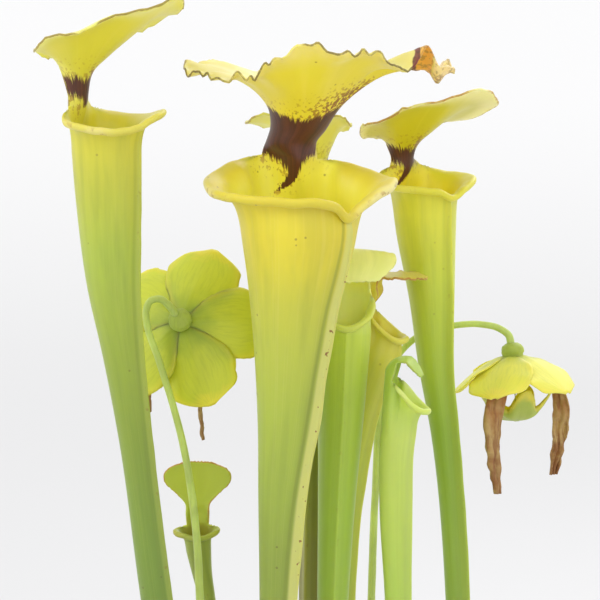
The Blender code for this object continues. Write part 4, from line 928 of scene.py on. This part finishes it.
def add_rod(sheet, line, sides, parts, rough=0.0, lump=0.004, seed=SEED):
    """A closed rod along a line of (x, y, z, radius), each stretch in parts, its surface roughened a little."""
    line = np.asarray(line, float)
    place = np.concatenate([[0.0], np.cumsum(np.linalg.norm(np.diff(line[:, :3], axis=0), axis=1))])
    finer = np.interp(np.arange((len(line) - 1) * parts + 1) / parts, np.arange(len(line)), place)
    fine = smooth_through(np.column_stack([place, line]), finer)
    points, radius = fine[:, :3], fine[:, 3]
    turn = circle(sides)
    sheet.last = None
    for p, r, a, b, f in zip(points, radius, *frames_along(points), finer / finer[-1]):
        out = np.cos(turn)[:, None] * a + np.sin(turn)[:, None] * b
        reach = r * (1 + rough * wobble(p + out * r, lump, seed))
        row = sheet.stack(p + out * reach[:, None], True, reach=f, across=np.cos(turn), edge=FAR_FROM_EDGE)
        if f == 0:
            sheet.cap(p, row, reach=f, across=0.0, edge=FAR_FROM_EDGE)
    sheet.cap(points[-1], row[::-1], reach=1.0, across=0.0, edge=FAR_FROM_EDGE)


class Flower:
    """A nodding flower: scape, bloom of five sepals round an ovary and umbrella, and withered petals."""

    def __init__(self, spec):
        self.spec = spec
        self.face = unit_vector(np.asarray(spec["facing"], float))
        tip, before = np.asarray(spec["scape"][-1][:3]), np.asarray(spec["scape"][-2][:3])
        self.heart = tip + unit_vector(tip - before) * STALK_TO_HEART
        self.over = UP - self.face * np.dot(UP, self.face)
        if np.linalg.norm(self.over) < 0.3:
            self.over = np.array([0.0, 1.0, 0.0]) - self.face * self.face[1]
        self.over = unit_vector(self.over)
        self.side = np.cross(self.over, self.face)

    def spoke(self, degrees):
        """Directions square to the flower's axis."""
        a = np.radians(degrees)
        return np.multiply.outer(np.cos(a), self.side) + np.multiply.outer(np.sin(a), self.over)

    def droop(self, s):
        """How far a sepal's middle line has bent towards the flower's face, at a share of its length."""
        length, _, bend = self.spec["sepal"]
        return SEPAL_DEPTH + length * bend * s**1.6

    def sepal(self, sheet, index, rows=26, columns=22):
        length, half, _ = self.spec["sepal"]
        angle = self.spec["turn"] + 72 * index
        out, across = self.spoke(angle), self.spoke(angle + 90)
        v = np.linspace(-1, 1, columns + 1)
        sheet.last = None
        for s in np.linspace(0, 1, rows + 1):
            wide = half * float(smooth_through(SEPAL_WIDTH, [s])[0][0])
            places = self.heart + np.outer(v, across) * 0.02 + out * s * 0.04
            frill = 1 + 0.045 * wobble(places, 0.006, SEED + index)
            frill += 0.02 * wobble(places, 0.0022, SEED + 60 + index)
            droop = self.droop(s) + v**2 * wide * SEPAL_CUP + v * SEPAL_TWIST * math.sin(math.pi * s)
            centre = self.heart + out * (SEPAL_SEAT + length * s)
            points = centre + across * (v * wide * frill)[:, None] + self.face * droop[:, None]
            wave = SEPAL_WAVE * wobble(points, 0.009, SEED + 10 + index) * (0.2 + v**2) * smooth_step(s / 0.3)
            wave -= MIDRIB_DEPTH * bell(v, 0.10) * smooth_step(s / 0.2) * (1 - s)
            edge = np.minimum((1 - np.abs(v)) * wide, length * (1 - s) + 0.0006)
            sheet.stack(points + self.face * wave[:, None], reach=s, across=v, edge=edge)

    def umbrella(self, sheet, rings=22, around=120):
        """The style's five-lobed umbrella, ribbed to its notched tips."""
        radius, turn = self.spec["umbrella"], self.spec["turn"] + 36
        angle = turn + 360 * np.arange(around) / around
        lobe = 1 - LOBE_DEPTH + LOBE_DEPTH * np.cos(np.radians(5 * (angle - turn)))
        rib = np.abs(np.cos(np.radians(2.5 * (angle - turn))))
        out = self.spoke(angle)
        for r in np.linspace(0.04, 1, rings + 1):
            reach = radius * r * (1 - (1 - lobe) * r**2)
            depth = UMBRELLA_DEPTH - UMBRELLA_BOWL * r**2 * lobe**2
            depth += UMBRELLA_RIB * rib**8 * smooth_step(r / 0.4)
            points = self.heart + out * reach[:, None] + self.face * depth[:, None]
            points += out * (0.0005 * wobble(points, 0.004, SEED + 30) * r**3)[:, None]
            first = sheet.last is None
            row = sheet.stack(points, True, True, reach=r, across=rib, edge=radius * (1 - r))
            if first:
                middle = self.heart + self.face * (UMBRELLA_DEPTH + 0.0001)
                sheet.cap(middle, row[::-1], reach=0.0, across=0.0, edge=radius)

    def heart_line(self):
        """The receptacle, ovary and style as one rod line along the flower's axis."""
        return [(*(self.heart + self.face * place), radius) for place, radius in HEART_PROFILE]

    def petal(self, sheet, sepal, reach, hang, half, rows=60, columns=12):
        """A withered strap that leaves the ovary behind a sepal and hangs limp from its edge."""
        out = self.spoke(self.spec["turn"] + 72 * sepal)
        points = []
        for x in (PETAL_SEAT, (PETAL_SEAT + reach) / 2, reach):
            depth = self.droop(max(x - SEPAL_SEAT, 0) / self.spec["sepal"][0]) + PETAL_BEHIND
            points.append(self.heart + out * x + self.face * depth)
        side = unit_vector(np.cross(out, UP))
        for share, sway in PETAL_SWAY:
            drift = (out * (1, 1, 0) * 0.5 + side * 0.3) * hang * sway
            points.append(points[2] - UP * hang * share + drift + self.face * 0.001)
        width = half * np.array(PETAL_WIDTH)
        keys = np.column_stack([np.linspace(0, 1, len(points)), np.array(points), width])
        v = np.linspace(-1, 1, columns + 1)
        for s in np.linspace(0, 1, rows + 1):
            *middle, wide = smooth_through(keys, [s])[0]
            limp = smooth_step((s - 0.3) / 0.6)
            across = side * math.cos(PETAL_TWIST * limp) + out * math.sin(PETAL_TWIST * limp)
            curl = np.cross(across, UP)
            row = middle + np.outer(v * wide, across) + np.outer(v * v, curl * 0.4 * wide * limp)
            crease = 0.0007 * np.sin(v * 7 + 2.5 * wobble([middle], 0.012, SEED + sepal)[0])
            crease += 0.0006 * wobble(row, 0.0035, SEED + 20 + sepal)
            ragged = 1 + 0.16 * wobble(row, 0.003, SEED + 40) * smooth_step((s - 0.5) / 0.5)
            row = middle + (row - middle) * ragged[:, None] + curl * (crease * (0.4 + limp))[:, None]
            sheet.stack(row, reach=s, across=v, edge=(1 - np.abs(v)) * wide)


def linear(colour):
    """A colour of red, green and blue from 0 to 255 as the linear numbers that a shader takes."""
    c = np.asarray(colour, float) / 255
    c = np.where(c <= 0.04045, c / 12.92, ((c + 0.055) / 1.055) ** 2.4)
    return (*c.tolist(), 1.0)


def shade(colour, amount):
    """The same colour made darker or lighter by a factor."""
    return tuple(min(255, v * amount) for v in colour)


class Value:
    """What a node puts out. Sums, differences and products of values make the nodes that they need."""

    def __init__(self, paint, socket):
        self.paint, self.socket = paint, socket

    def __add__(self, other):
        return self.paint.math("ADD", self, other)

    def __sub__(self, other):
        return self.paint.math("SUBTRACT", self, other)

    def __rsub__(self, other):
        return self.paint.math("SUBTRACT", other, self)

    def __mul__(self, other):
        return self.paint.math("MULTIPLY", self, other)

    def between(self, low, high):
        """0 where the value is at low, 1 where it is at high, smooth in between."""
        inputs = {"Value": self, "From Min": low, "From Max": high}
        return self.paint.node("MapRange", inputs, "Result", interpolation_type="SMOOTHSTEP")


class Paint:
    """A material under construction, whose base colour is laid on in layers."""

    def __init__(self, name, roughness, subsurface=0.0, coat=0.0, sheen=0.0):
        self.made = bpy.data.materials.new(name)
        self.made.use_nodes = True
        self.nodes, self.links = self.made.node_tree.nodes, self.made.node_tree.links
        self.set(("Roughness", roughness), ("Subsurface Weight", subsurface), ("Coat Weight", coat),
                 ("Sheen Weight", sheen), ("Subsurface Radius", SCATTER_RADIUS),
                 ("Subsurface Scale", SCATTER_SCALE), ("Coat Roughness", COAT_ROUGHNESS))
        self.place = self.node("TexCoord", {}, "Object")

    def set(self, *settings):
        """Numbers, colours or values for the shader's own sockets."""
        for key, value in settings:
            self.put(self.nodes["Principled BSDF"].inputs[key], value)

    def put(self, socket, value):
        if isinstance(value, Value):
            self.links.new(value.socket, socket)
        else:
            socket.default_value = value

    def node(self, kind, inputs, output=0, **settings):
        """What a new node of this kind puts out, with these inputs and settings."""
        made = self.nodes.new("ShaderNode" + kind)
        for key, value in settings.items():
            setattr(made, key, value)
        for key, value in inputs.items():
            self.put(made.inputs[key], value)
        return Value(self, made.outputs[output])

    def attribute(self, name):
        return self.node("Attribute", {}, "Fac", attribute_name=name)

    def math(self, operation, a, b):
        return self.node("Math", {0: a, 1: b}, operation=operation)

    def vector(self, *parts):
        return self.node("CombineXYZ", dict(enumerate(parts)))

    def noise(self, scale, detail=3.0, roughness=0.55, vector=None):
        """Noise with one scale, or with one for each axis, over the object itself or over a vector."""
        vector = vector or self.place
        if isinstance(scale, tuple):
            vector, scale = self.node("VectorMath", {0: vector, 1: scale}, operation="MULTIPLY"), 1.0
        inputs = {"Vector": vector, "Scale": scale, "Detail": detail, "Roughness": roughness}
        return self.node("TexNoise", inputs, "Fac")

    def cells(self, scale):
        """Distance to the nearest cell's middle, and a random number of that cell."""
        distance = self.node("TexVoronoi", {"Vector": self.place, "Scale": scale}, "Distance")
        colour = Value(self, distance.socket.node.outputs["Color"])
        return distance, self.node("SeparateColor", {0: colour})

    def mix(self, factor, a, b):
        return self.node("Mix", {0: factor, 6: a, 7: b}, 2, data_type="RGBA")

    def shades(self, factor, colour, dark, light):
        """From a darker to a lighter shade of one colour."""
        return self.mix(factor, linear(shade(colour, dark)), linear(shade(colour, light)))

    def tint(self, factor, colour):
        """Lays a colour over the base."""
        self.base = self.mix(factor, self.base, linear(colour))

    def ramp(self, factor, stops):
        made = self.node("ValToRGB", {0: factor})
        points = made.socket.node.color_ramp.elements
        while len(points) < len(stops):
            points.new(0.5)
        for point, (position, colour) in zip(points, stops):
            point.position, point.color = position, linear(colour)
        return made

    def done(self, height, distance, strength=1.0):
        """Bumps the surface by this height, puts in the base colour and gives the material."""
        inputs = {"Height": height, "Distance": distance, "Strength": strength}
        self.set(("Normal", self.node("Bump", inputs)), ("Base Color", self.base))
        return self.made


def leaf_paint(name, look, inner, wing_at):
    """A pitcher's skin, outer or inner: yellow at the mouth to green below outside, and inside painted darker
    down the throat as painted shade; veined, with a maroon column.
    """
    paint = Paint(name, roughness=0.45, subsurface=0.75, coat=0.04, sheen=0.10)
    vein = paint.vector(*(paint.attribute("vein_" + axis) for axis in "xyz"))
    fine = paint.noise(VEINS, vector=vein)
    cloud = paint.noise(CLOUDS)
    grain = paint.noise(GRAIN, detail=4.0)
    rise = paint.math("DIVIDE", paint.attribute("rise"), 3.0)
    inside, hood, top = look["inside"], look["hood"], look["top"]
    if inner:
        # Inside, the throat is painted darker further down the tube: painted shade deep in the pitcher.
        stops = [(0.0, shade(inside, 0.45)), (0.20, shade(inside, 0.66)), (0.31, shade(inside, 0.84)),
                 (0.42, inside), (0.60, inside), (0.70, hood), (0.93, hood), (1.0, top)]
    else:
        stops = [(share / 3, colour) for share, colour in look["tube"]]
        stops += [(0.68, hood), (0.80, top), (1.0, top)]
    paint.base = paint.ramp(rise, stops)
    broad = paint.noise(BLOTCHES, vector=vein)
    paint.tint(broad.between(0.40, 0.68) * (0.12 if inner else 0.24), shade(look["tube"][2][1], 0.90))
    paint.tint(fine.between(0.52, 0.72) * 0.08, look["crest"])
    if not inner:
        add_wing(paint, rise, look, math.radians(wing_at))
    add_lip(paint, cloud, look)
    edge = paint.attribute("edge")
    paint.tint((edge + cloud * 0.012).between(*PALE_MARGIN) * 0.55, look["top"])
    dark = (edge + grain * 0.0016).between(*DARK_MARGIN) * cloud.between(0.36, 0.52)
    paint.tint(dark * 0.85, look["edge"])
    if "tip" in look:
        add_tip(paint, cloud, look["tip"])
    if look["stain"]:
        add_stain(paint, vein, grain, 1.0 if inner else 0.35, look["flecks"])
    distance, chance = paint.cells(SPECKS)
    rare = 0.97 - 0.12 * look["specks"]
    paint.tint(distance.between(0.16, 0.10) * chance.between(rare, rare + 0.005) * look["specks"], SPECK_BROWN)
    return paint.done(fine + grain * 0.35, distance=0.0004, strength=0.25)


def add_wing(paint, rise, look, turn):
    """The pale wing down the front, with painted shade in the groove beside it and along its foot, and brown
    nicks along it.
    """
    wing, strength = paint.attribute("wing"), look["wing"]
    facing = paint.attribute("vein_x") * math.cos(turn) + paint.attribute("vein_y") * math.sin(turn)
    # Painted shade: a darker green of the tube, laid broadly beside the wing low on the tube and as a thin line
    # along the wing's foot.
    groove_shade = shade(look["tube"][len(look["tube"]) // 2][1], 0.78)
    paint.tint(facing.between(0.90, 0.99) * rise.between(0.36, 0.26) * (strength * 0.33), groove_shade)
    paint.tint(wing.between(0.004, 0.03) * wing.between(0.20, 0.06) * (strength * 0.6), groove_shade)
    paint.tint(wing.between(0.12, 0.40) * rise.between(-0.12, 0.27) * strength, look["wing_pale"])
    nick = paint.noise(NICKS, detail=1.0)
    paint.tint(wing.between(0.35, 0.60) * nick.between(0.69, 0.73) * strength, FLECK_BROWN)


def add_lip(paint, cloud, look):
    """The rolled lip's own colour, with a pale blush and brown marks towards its corners."""
    lip, aside = paint.attribute("lip"), paint.attribute("vein_y")
    corner = (aside * aside).between(0.55, 0.95)
    paint.tint(lip.between(0.30, 0.62), look["lip"])
    paint.tint(lip.between(0.50, 0.80) * cloud.between(0.30, 0.55) * corner, look["crest"])
    mark = lip.between(0.66, 0.80) * corner.between(0.0, 0.6)
    mark = mark * paint.noise(300.0, detail=4.0).between(0.55, 0.64)
    paint.tint(mark * look["specks"], LIP_BROWN)


def add_tip(paint, cloud, bands):
    """Bands of colour across the hood's far right end, each from one distance beside the mouth to another."""
    beside = paint.attribute("beside") + cloud * 0.008
    mottle = paint.noise(420.0).between(0.50, 0.60)
    for low, high, colour, strength in bands:
        inside = beside.between(low, low + BAND_SOFTNESS) * beside.between(high + BAND_SOFTNESS, high)
        paint.base = paint.mix(inside * strength, paint.base, paint.shades(mottle, colour, 1.0, 0.72))


def add_stain(paint, vein, grain, strength, flecks):
    """The maroon of the column, with an edge that frays along the veins, and loose flecks above it."""
    amount, further = flecks
    depth = paint.attribute("stain")
    fray = paint.noise(FRAYING, detail=5.0, roughness=0.65, vector=vein)
    solid = (depth + (fray - 0.5) * FRAY_DEPTH).between(*STAIN_EDGE)
    right = paint.attribute("vein_y").between(-0.20, 0.10)
    above = paint.attribute("over").between(0.012, 0.018)
    often = above * (right * 0.60 + 0.40) + (1.0 - above) * (0.62 - right * 0.42)
    near = (depth + right * above * further).between(*FLECK_REACH) * often
    fleck = paint.noise(FLECKS, detail=2.0)
    fleck = (fleck + near * 0.22).between(0.655, 0.70) * near
    paint.tint(fleck * (amount * strength), FLECK_BROWN)
    streak = paint.noise(STREAKS, vector=vein)
    tone = paint.shades(streak.between(0.35, 0.65), MAROON, 0.84, 1.14)
    tone = paint.mix(grain.between(0.5, 0.7) * 0.25, tone, linear(shade(MAROON, 0.7)))
    paint.base = paint.mix(solid * strength, paint.base, tone)


def sepal_paint(name, heart, blade, tip):
    """Thin veined tissue, greener at the flower's heart and yellower at the margins and tips."""
    paint = Paint(name, roughness=0.5, subsurface=0.75, sheen=0.06)
    reach = paint.attribute("reach")
    fan = paint.vector(paint.attribute("across") * 5.5, reach * 1.4)
    veins = paint.noise(2.4, detail=5.0, roughness=0.62, vector=fan)
    cloud = paint.noise(90.0)
    grain = paint.noise(800.0)
    along = reach + (cloud - 0.5) * 0.6
    paint.base = paint.ramp(along, ((0.0, heart), (0.45, blade), (0.80, blade), (1.0, tip)))
    paint.tint(veins.between(0.44, 0.66) * 0.20, shade(heart, 0.92))
    edge = paint.attribute("edge") + cloud * 0.003
    paint.tint(edge.between(0.0058, 0.0014) * 0.5, tip)
    paint.tint((edge + grain * 0.002).between(0.0024, 0.0014) * cloud.between(0.46, 0.60) * 0.4, MARGIN_RUST)
    return paint.done(veins + grain * 0.25, distance=0.0004, strength=0.25)


def stalk_paint(name, colour, rough=0.45):
    """A smooth stalk with faint lengthwise streaks."""
    paint = Paint(name, roughness=rough, subsurface=0.6, coat=0.04)
    streak = paint.noise((900.0, 900.0, 40.0))
    paint.base = paint.shades(paint.noise(60.0).between(0.35, 0.65), colour, 0.95, 1.04)
    paint.tint(streak.between(0.5, 0.7) * 0.25, shade(colour, 0.8))
    return paint.done(streak, distance=0.0003, strength=0.4)


def petal_paint():
    """Withered petal: brown at its seat, straw further down, dark along folds and torn ends."""
    paint = Paint("dry_petal", roughness=0.75, subsurface=0.10)
    fibre = paint.noise((420.0, 420.0, 60.0), detail=4.0)
    along = paint.attribute("reach") + (paint.noise(160.0) - 0.5) * 0.8
    paint.base = paint.ramp(along, ((0.0, DRY_DARK), (0.42, DRY_MIDDLE), (0.75, DRY_PALE), (1.0, DRY_END)))
    paint.tint(fibre.between(0.5, 0.64) * 0.6, DRY_DARK)
    return paint.done(fibre, distance=0.0008, strength=0.8)


def rhizome_paint():
    """Brown scaly bark with redder patches."""
    paint = Paint("rhizome", roughness=0.85)
    bark = paint.noise((260.0, 260.0, 620.0), detail=6.0, roughness=0.65)
    paint.base = paint.shades(bark.between(0.36, 0.62), RHIZOME_BROWN, 0.55, 1.25)
    paint.tint(paint.noise(70.0).between(0.5, 0.66) * 0.5, RHIZOME_RED)
    return paint.done(bark, distance=0.0014, strength=0.9)


def soil_paint():
    """Damp peat with paler fibres and green patches of moss."""
    paint = Paint("soil", roughness=0.95)
    crumb = paint.noise(520.0, detail=7.0, roughness=0.7)
    fibre = paint.noise((150.0, 900.0, 300.0))
    paint.base = paint.shades(crumb.between(0.36, 0.64), SOIL_DARK, 0.6, 1.35)
    paint.tint(fibre.between(0.62, 0.70) * 0.8, SOIL_PALE)
    moss = paint.noise(34.0, detail=4.0).between(0.52, 0.60) * crumb.between(0.38, 0.55)
    paint.tint(moss * 0.85, MOSS_GREEN)
    return paint.done(crumb, distance=0.0016)


def crumb_paint(name, colour):
    """Loose bits of one colour, mottled."""
    paint = Paint(name, roughness=0.92)
    grain = paint.noise(900.0, detail=5.0)
    paint.base = paint.shades(grain.between(0.35, 0.65), colour, 0.62, 1.2)
    paint.tint(paint.noise(120.0).between(0.42, 0.62), shade(colour, 0.8))
    return paint.done(grain, distance=0.0007, strength=0.8)


def pot_paint():
    """Matt moulded plastic: a fine pebbled skin, faint scuffs round the band and a little dried splash."""
    paint = Paint("pot", roughness=0.55)
    cloud = paint.noise(26.0, detail=4.0)
    paint.base = paint.shades(cloud.between(0.3, 0.7), POT_GREY, 0.9, 1.12)
    paint.tint(paint.noise((30.0, 30.0, 420.0), detail=5.0).between(0.60, 0.72) * 0.22, SCUFF_GREY)
    paint.tint(paint.noise(240.0, detail=6.0).between(0.64, 0.70) * 0.35, SPLASH_BROWN)
    paint.set(("Roughness", cloud * 0.18 + 0.46))
    return paint.done(paint.noise(1500.0, detail=2.0), distance=0.0003, strength=0.35)


def dress_pitchers():
    for name, spec in PITCHERS.items():
        sides = (("_outside", False), ("_inside", True))
        skins = [leaf_paint(name + side, LOOKS[name], inner, spec["wing_at"]) for side, inner in sides]
        leaf = name + "_leaf"
        add_piece(leaf, Pitcher(name, spec).mesh(leaf), skins, [name], LEAF_WALL)


def dress_flowers():
    green = sepal_paint("umbrella", UMBRELLA_GREEN, UMBRELLA_GREEN, UMBRELLA_RIM)
    stalk = stalk_paint("scape", SCAPE_GREEN)
    ovary = stalk_paint("ovary", UMBRELLA_GREEN, 0.6)
    dry = petal_paint()
    for name, spec in FLOWERS.items():
        flower, bloom = Flower(spec), "bloom_" + name
        scape, sepals, umbrella, heart = (Sheet() for _ in range(4))
        add_rod(scape, spec["scape"], sides=24, parts=10, rough=0.03)
        add_piece("scape_" + name + "_stalk", scape.mesh("scape_" + name), [stalk], ["scape_" + name])
        for index in range(5):
            flower.sepal(sepals, index)
        # Each bloom's sepal colours hold painted light on the right bloom and painted shade on the left.
        skin = sepal_paint("sepal_" + name, *SEPALS_PAINTED_LIT_AND_SHADED[name])
        add_piece(bloom + "_sepals", sepals.mesh("sepals_" + name), [skin], [bloom], SEPAL_WALL)
        flower.umbrella(umbrella)
        add_piece(bloom + "_umbrella", umbrella.mesh("umbrella_" + name), [green], wall=SEPAL_WALL)
        add_rod(heart, flower.heart_line(), sides=32, parts=8, rough=0.05, lump=0.0012)
        add_piece(bloom + "_ovary", heart.mesh("ovary_" + name), [ovary])
        for index, petal in enumerate(spec["petals"]):
            node, strap = "petal_%s_%d" % (name, index + 1), Sheet()
            flower.petal(strap, *petal)
            add_piece(node + "_dry", strap.mesh(node), [dry], [node], PETAL_WALL)


def dress_rhizome():
    sheet = Sheet()
    for index, line in enumerate((RHIZOME_MAIN, *RHIZOME_SIDES)):
        add_rod(sheet, line, sides=40, parts=12, rough=0.10, lump=0.0035, seed=SEED + index)
    add_piece("rhizome_knobs", sheet.mesh("rhizome"), [rhizome_paint()], ["rhizome"])


def pot_radius(height):
    """Outer radius of the pot's wall."""
    return POT_FOOT_RADIUS + (POT_TOP_RADIUS - POT_FOOT_RADIUS) * height / POT_HEIGHT


def soil_height(x, y):
    """The mix's surface: a low swell, lumpy, and drawn down a little against the pot."""
    r = np.hypot(x, y)
    flat = np.stack([x, y, np.zeros_like(x)], axis=1)
    swell = SOIL_SWELL * (1 - smooth_step(r / SOIL_SWELL_RADIUS))
    lumps = 0.0011 * wobble(flat, 0.011, SEED + 50) + 0.0006 * wobble(flat, 0.0035, SEED + 51, waves=14)
    return SOIL_TOP + swell + lumps - SOIL_DRAWN_DOWN * smooth_step((r - SOIL_LEVEL_RADIUS) / 0.012)


def dress_soil(sides=180, rings=70):
    sheet, turn = Sheet(), circle(sides)
    inset, floor_z = POT_WALL + SOIL_GAP, POT_FLOOR + SOIL_GAP / 2
    for r in np.linspace(0.0015, pot_radius(SOIL_TOP) - inset, rings):
        first = sheet.last is None
        row = sheet.stack(ring(turn, r, soil_height(r * np.cos(turn), r * np.sin(turn))), True, True, reach=r)
        if first:
            sheet.cap((0, 0, soil_height(np.zeros(1), np.zeros(1))[0]), row[::-1], reach=0.0)
    for z, share in ((SOIL_TOP * 0.6, 1.0), (floor_z, 1.0), (floor_z, 0.5)):
        r = (pot_radius(z) - inset) * share
        row = sheet.stack(ring(turn, r, z), True, True, reach=r)
    sheet.cap((0, 0, floor_z), row, reach=0.0)
    add_piece("soil_mix", sheet.mesh("soil"), [soil_paint()], ["soil"])


def near_stem(x, y):
    """How far a place on the mix is from the nearest stem."""
    feet = [spec["spine"][0][:2] for spec in PITCHERS.values()]
    feet += [spec["scape"][0][:2] for spec in FLOWERS.values()]
    return min(math.hypot(x - a, y - b) for a, b in feet)


def dress_crumbs():
    """Loose bits lying on the mix: dark crumbs of peat and bark, and a few pale grains of grit."""
    draw = np.random.default_rng(SEED)
    for name, colour, count, finer, small, large in CRUMBS:
        bm = bmesh.new()
        made = 0
        while made < count:
            r, turn = CRUMB_REACH * math.sqrt(draw.uniform()), draw.uniform(0, 2 * math.pi)
            x, y = r * math.cos(turn), r * math.sin(turn)
            if near_stem(x, y) < STEM_CLEARANCE:
                continue
            size = draw.uniform(small, large)
            lump = bmesh.ops.create_icosphere(bm, subdivisions=finer, radius=size)["verts"]
            stretch = draw.uniform(0.6, 1.3, 3)
            for vert in lump:
                vert.co = [c * s * draw.uniform(0.8, 1.2) for c, s in zip(vert.co, stretch)]
            z = soil_height(np.array([x]), np.array([y]))[0]
            bmesh.ops.translate(bm, verts=lump, vec=(x, y, z + size * 0.25))
            made += 1
        add_piece("soil_" + name, mesh_of(bm, name), [crumb_paint(name, colour)])


def rounded(corners, radius, steps=5):
    """An outline with each inner corner rounded off by this radius, or by less where there is no room."""
    corners = np.array(corners, float)
    points = [corners[0]]
    for before, corner, after in zip(corners[:-2], corners[1:-1], corners[2:]):
        a, b = before - corner, after - corner
        room = min(radius, 0.45 * np.linalg.norm(a), 0.45 * np.linalg.norm(b))
        a, b = a / np.linalg.norm(a) * room, b / np.linalg.norm(b) * room
        points += [corner + a * (1 - s) ** 2 + b * s**2 for s in np.linspace(0, 1, steps + 1)]
    return [*points, corners[-1]]


def dress_pot(sides=192, middle=0.0006):
    band_z = POT_HEIGHT - POT_BAND_HEIGHT
    corners = (
        (middle, 0.0), (POT_FOOT_RADIUS, 0.0), (pot_radius(band_z), band_z),
        (pot_radius(band_z) + POT_BAND_PROUD, band_z + 0.0008), (POT_TOP_RADIUS + POT_BAND_PROUD, POT_HEIGHT),
        (POT_TOP_RADIUS - POT_WALL, POT_HEIGHT), (pot_radius(POT_FLOOR) - POT_WALL, POT_FLOOR),
        (middle, POT_FLOOR),
    )
    sheet, turn = Sheet(), circle(sides)
    for r, z in rounded(corners, POT_EDGE_RADIUS):
        first = sheet.last is None
        row = sheet.stack(ring(turn, r, z), True, reach=r)
        if first:
            sheet.cap((0, 0, z), row, reach=0.0)
    sheet.cap((0, 0, POT_FLOOR), row[::-1], reach=0.0)
    pot = add_piece("pot_shell", sheet.mesh("pot"), [pot_paint()], ["pot"])
    cut_drain_holes(pot)


def cut_drain_holes(pot):
    bm = bmesh.new()
    for k in range(DRAIN_HOLES):
        a = 2 * math.pi * (k + 0.5) / DRAIN_HOLES
        hole = bmesh.ops.create_cone(bm, cap_ends=True, segments=32, radius1=DRAIN_HOLE_RADIUS,
                                     radius2=DRAIN_HOLE_RADIUS, depth=DRAIN_CUT)["verts"]
        place = (DRAIN_CIRCLE_RADIUS * math.cos(a), DRAIN_CIRCLE_RADIUS * math.sin(a), 0)
        bmesh.ops.translate(bm, verts=hole, vec=place)
    cutter = add_object("drain_holes", mesh_of(bm, "drain_holes"))
    cut = pot.modifiers.new("drain", "BOOLEAN")
    cut.operation, cut.object, cut.solver = "DIFFERENCE", cutter, "EXACT"
    graph = bpy.context.evaluated_depsgraph_get()
    done = bpy.data.meshes.new_from_object(pot.evaluated_get(graph), depsgraph=graph)
    pot.modifiers.clear()
    pot.data = done
    done.set_sharp_from_angle(angle=SHARP_ANGLE)
    bpy.data.objects.remove(cutter)


def set_stage():
    """A wide pale floor that glows a little far away, a white sky, and soft key, fill and back lights."""
    bm = bmesh.new()
    bmesh.ops.create_circle(bm, cap_ends=True, segments=96, radius=FLOOR_RADIUS)
    floor = add_object("floor", mesh_of(bm, "floor"))
    paint = Paint("floor", roughness=0.9)
    away = paint.node("VectorMath", {0: paint.place}, "Value", operation="LENGTH")
    far = paint.math("LOGARITHM", away, math.e).between(math.log(FLOOR_NEAR), math.log(FLOOR_FAR))
    paint.set(("Base Color", linear(FLOOR_PALE)), ("Emission Color", WHITE),
              ("Emission Strength", far * FLOOR_GLOW))
    floor.data.materials.append(paint.made)
    world = bpy.data.worlds.new("studio")
    world.use_nodes = True
    sky = world.node_tree.nodes["Background"]
    sky.inputs["Color"].default_value = WHITE
    sky.inputs["Strength"].default_value = SKY_STRENGTH
    bpy.context.scene.world = world
    bpy.context.scene.view_settings.view_transform = "Standard"
    aim = np.array(CAMERA_AIM)
    for name, offset, size, power in LIGHTS:
        light = bpy.data.lights.new(name, "AREA")
        light.size, light.energy = size, power
        point_at(add_object(name, light), aim + np.array(offset), aim)


def point_at(obj, place, aim):
    """Puts obj at place with its -Z axis towards aim and its +Y axis up."""
    back = unit_vector(place - aim)
    right = unit_vector(np.cross(UP, back))
    rows = np.eye(4)
    rows[:3] = np.column_stack([right, np.cross(back, right), back, place])
    obj.matrix_world = Matrix(rows.tolist())


def set_camera():
    aim = np.array(CAMERA_AIM)
    back = np.array([0.0, -math.cos(CAMERA_ELEVATION), math.sin(CAMERA_ELEVATION)])
    lens = bpy.data.cameras.new("camera")
    lens.sensor_width = SENSOR_WIDTH
    lens.lens = SENSOR_WIDTH * CAMERA_DISTANCE / FRAME_WIDTH
    lens.clip_end = 200.0
    camera = add_object("camera", lens)
    point_at(camera, aim + back * CAMERA_DISTANCE, aim)
    bpy.context.scene.camera = camera


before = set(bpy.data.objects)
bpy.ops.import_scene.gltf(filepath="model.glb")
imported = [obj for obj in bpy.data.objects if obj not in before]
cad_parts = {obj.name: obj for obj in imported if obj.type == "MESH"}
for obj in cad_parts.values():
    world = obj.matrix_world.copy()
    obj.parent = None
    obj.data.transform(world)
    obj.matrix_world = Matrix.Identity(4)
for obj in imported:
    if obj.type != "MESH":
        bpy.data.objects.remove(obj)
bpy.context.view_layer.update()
set_camera()
set_stage()
dress_pot()
dress_soil()
dress_crumbs()
dress_rhizome()
dress_pitchers()
dress_flowers()
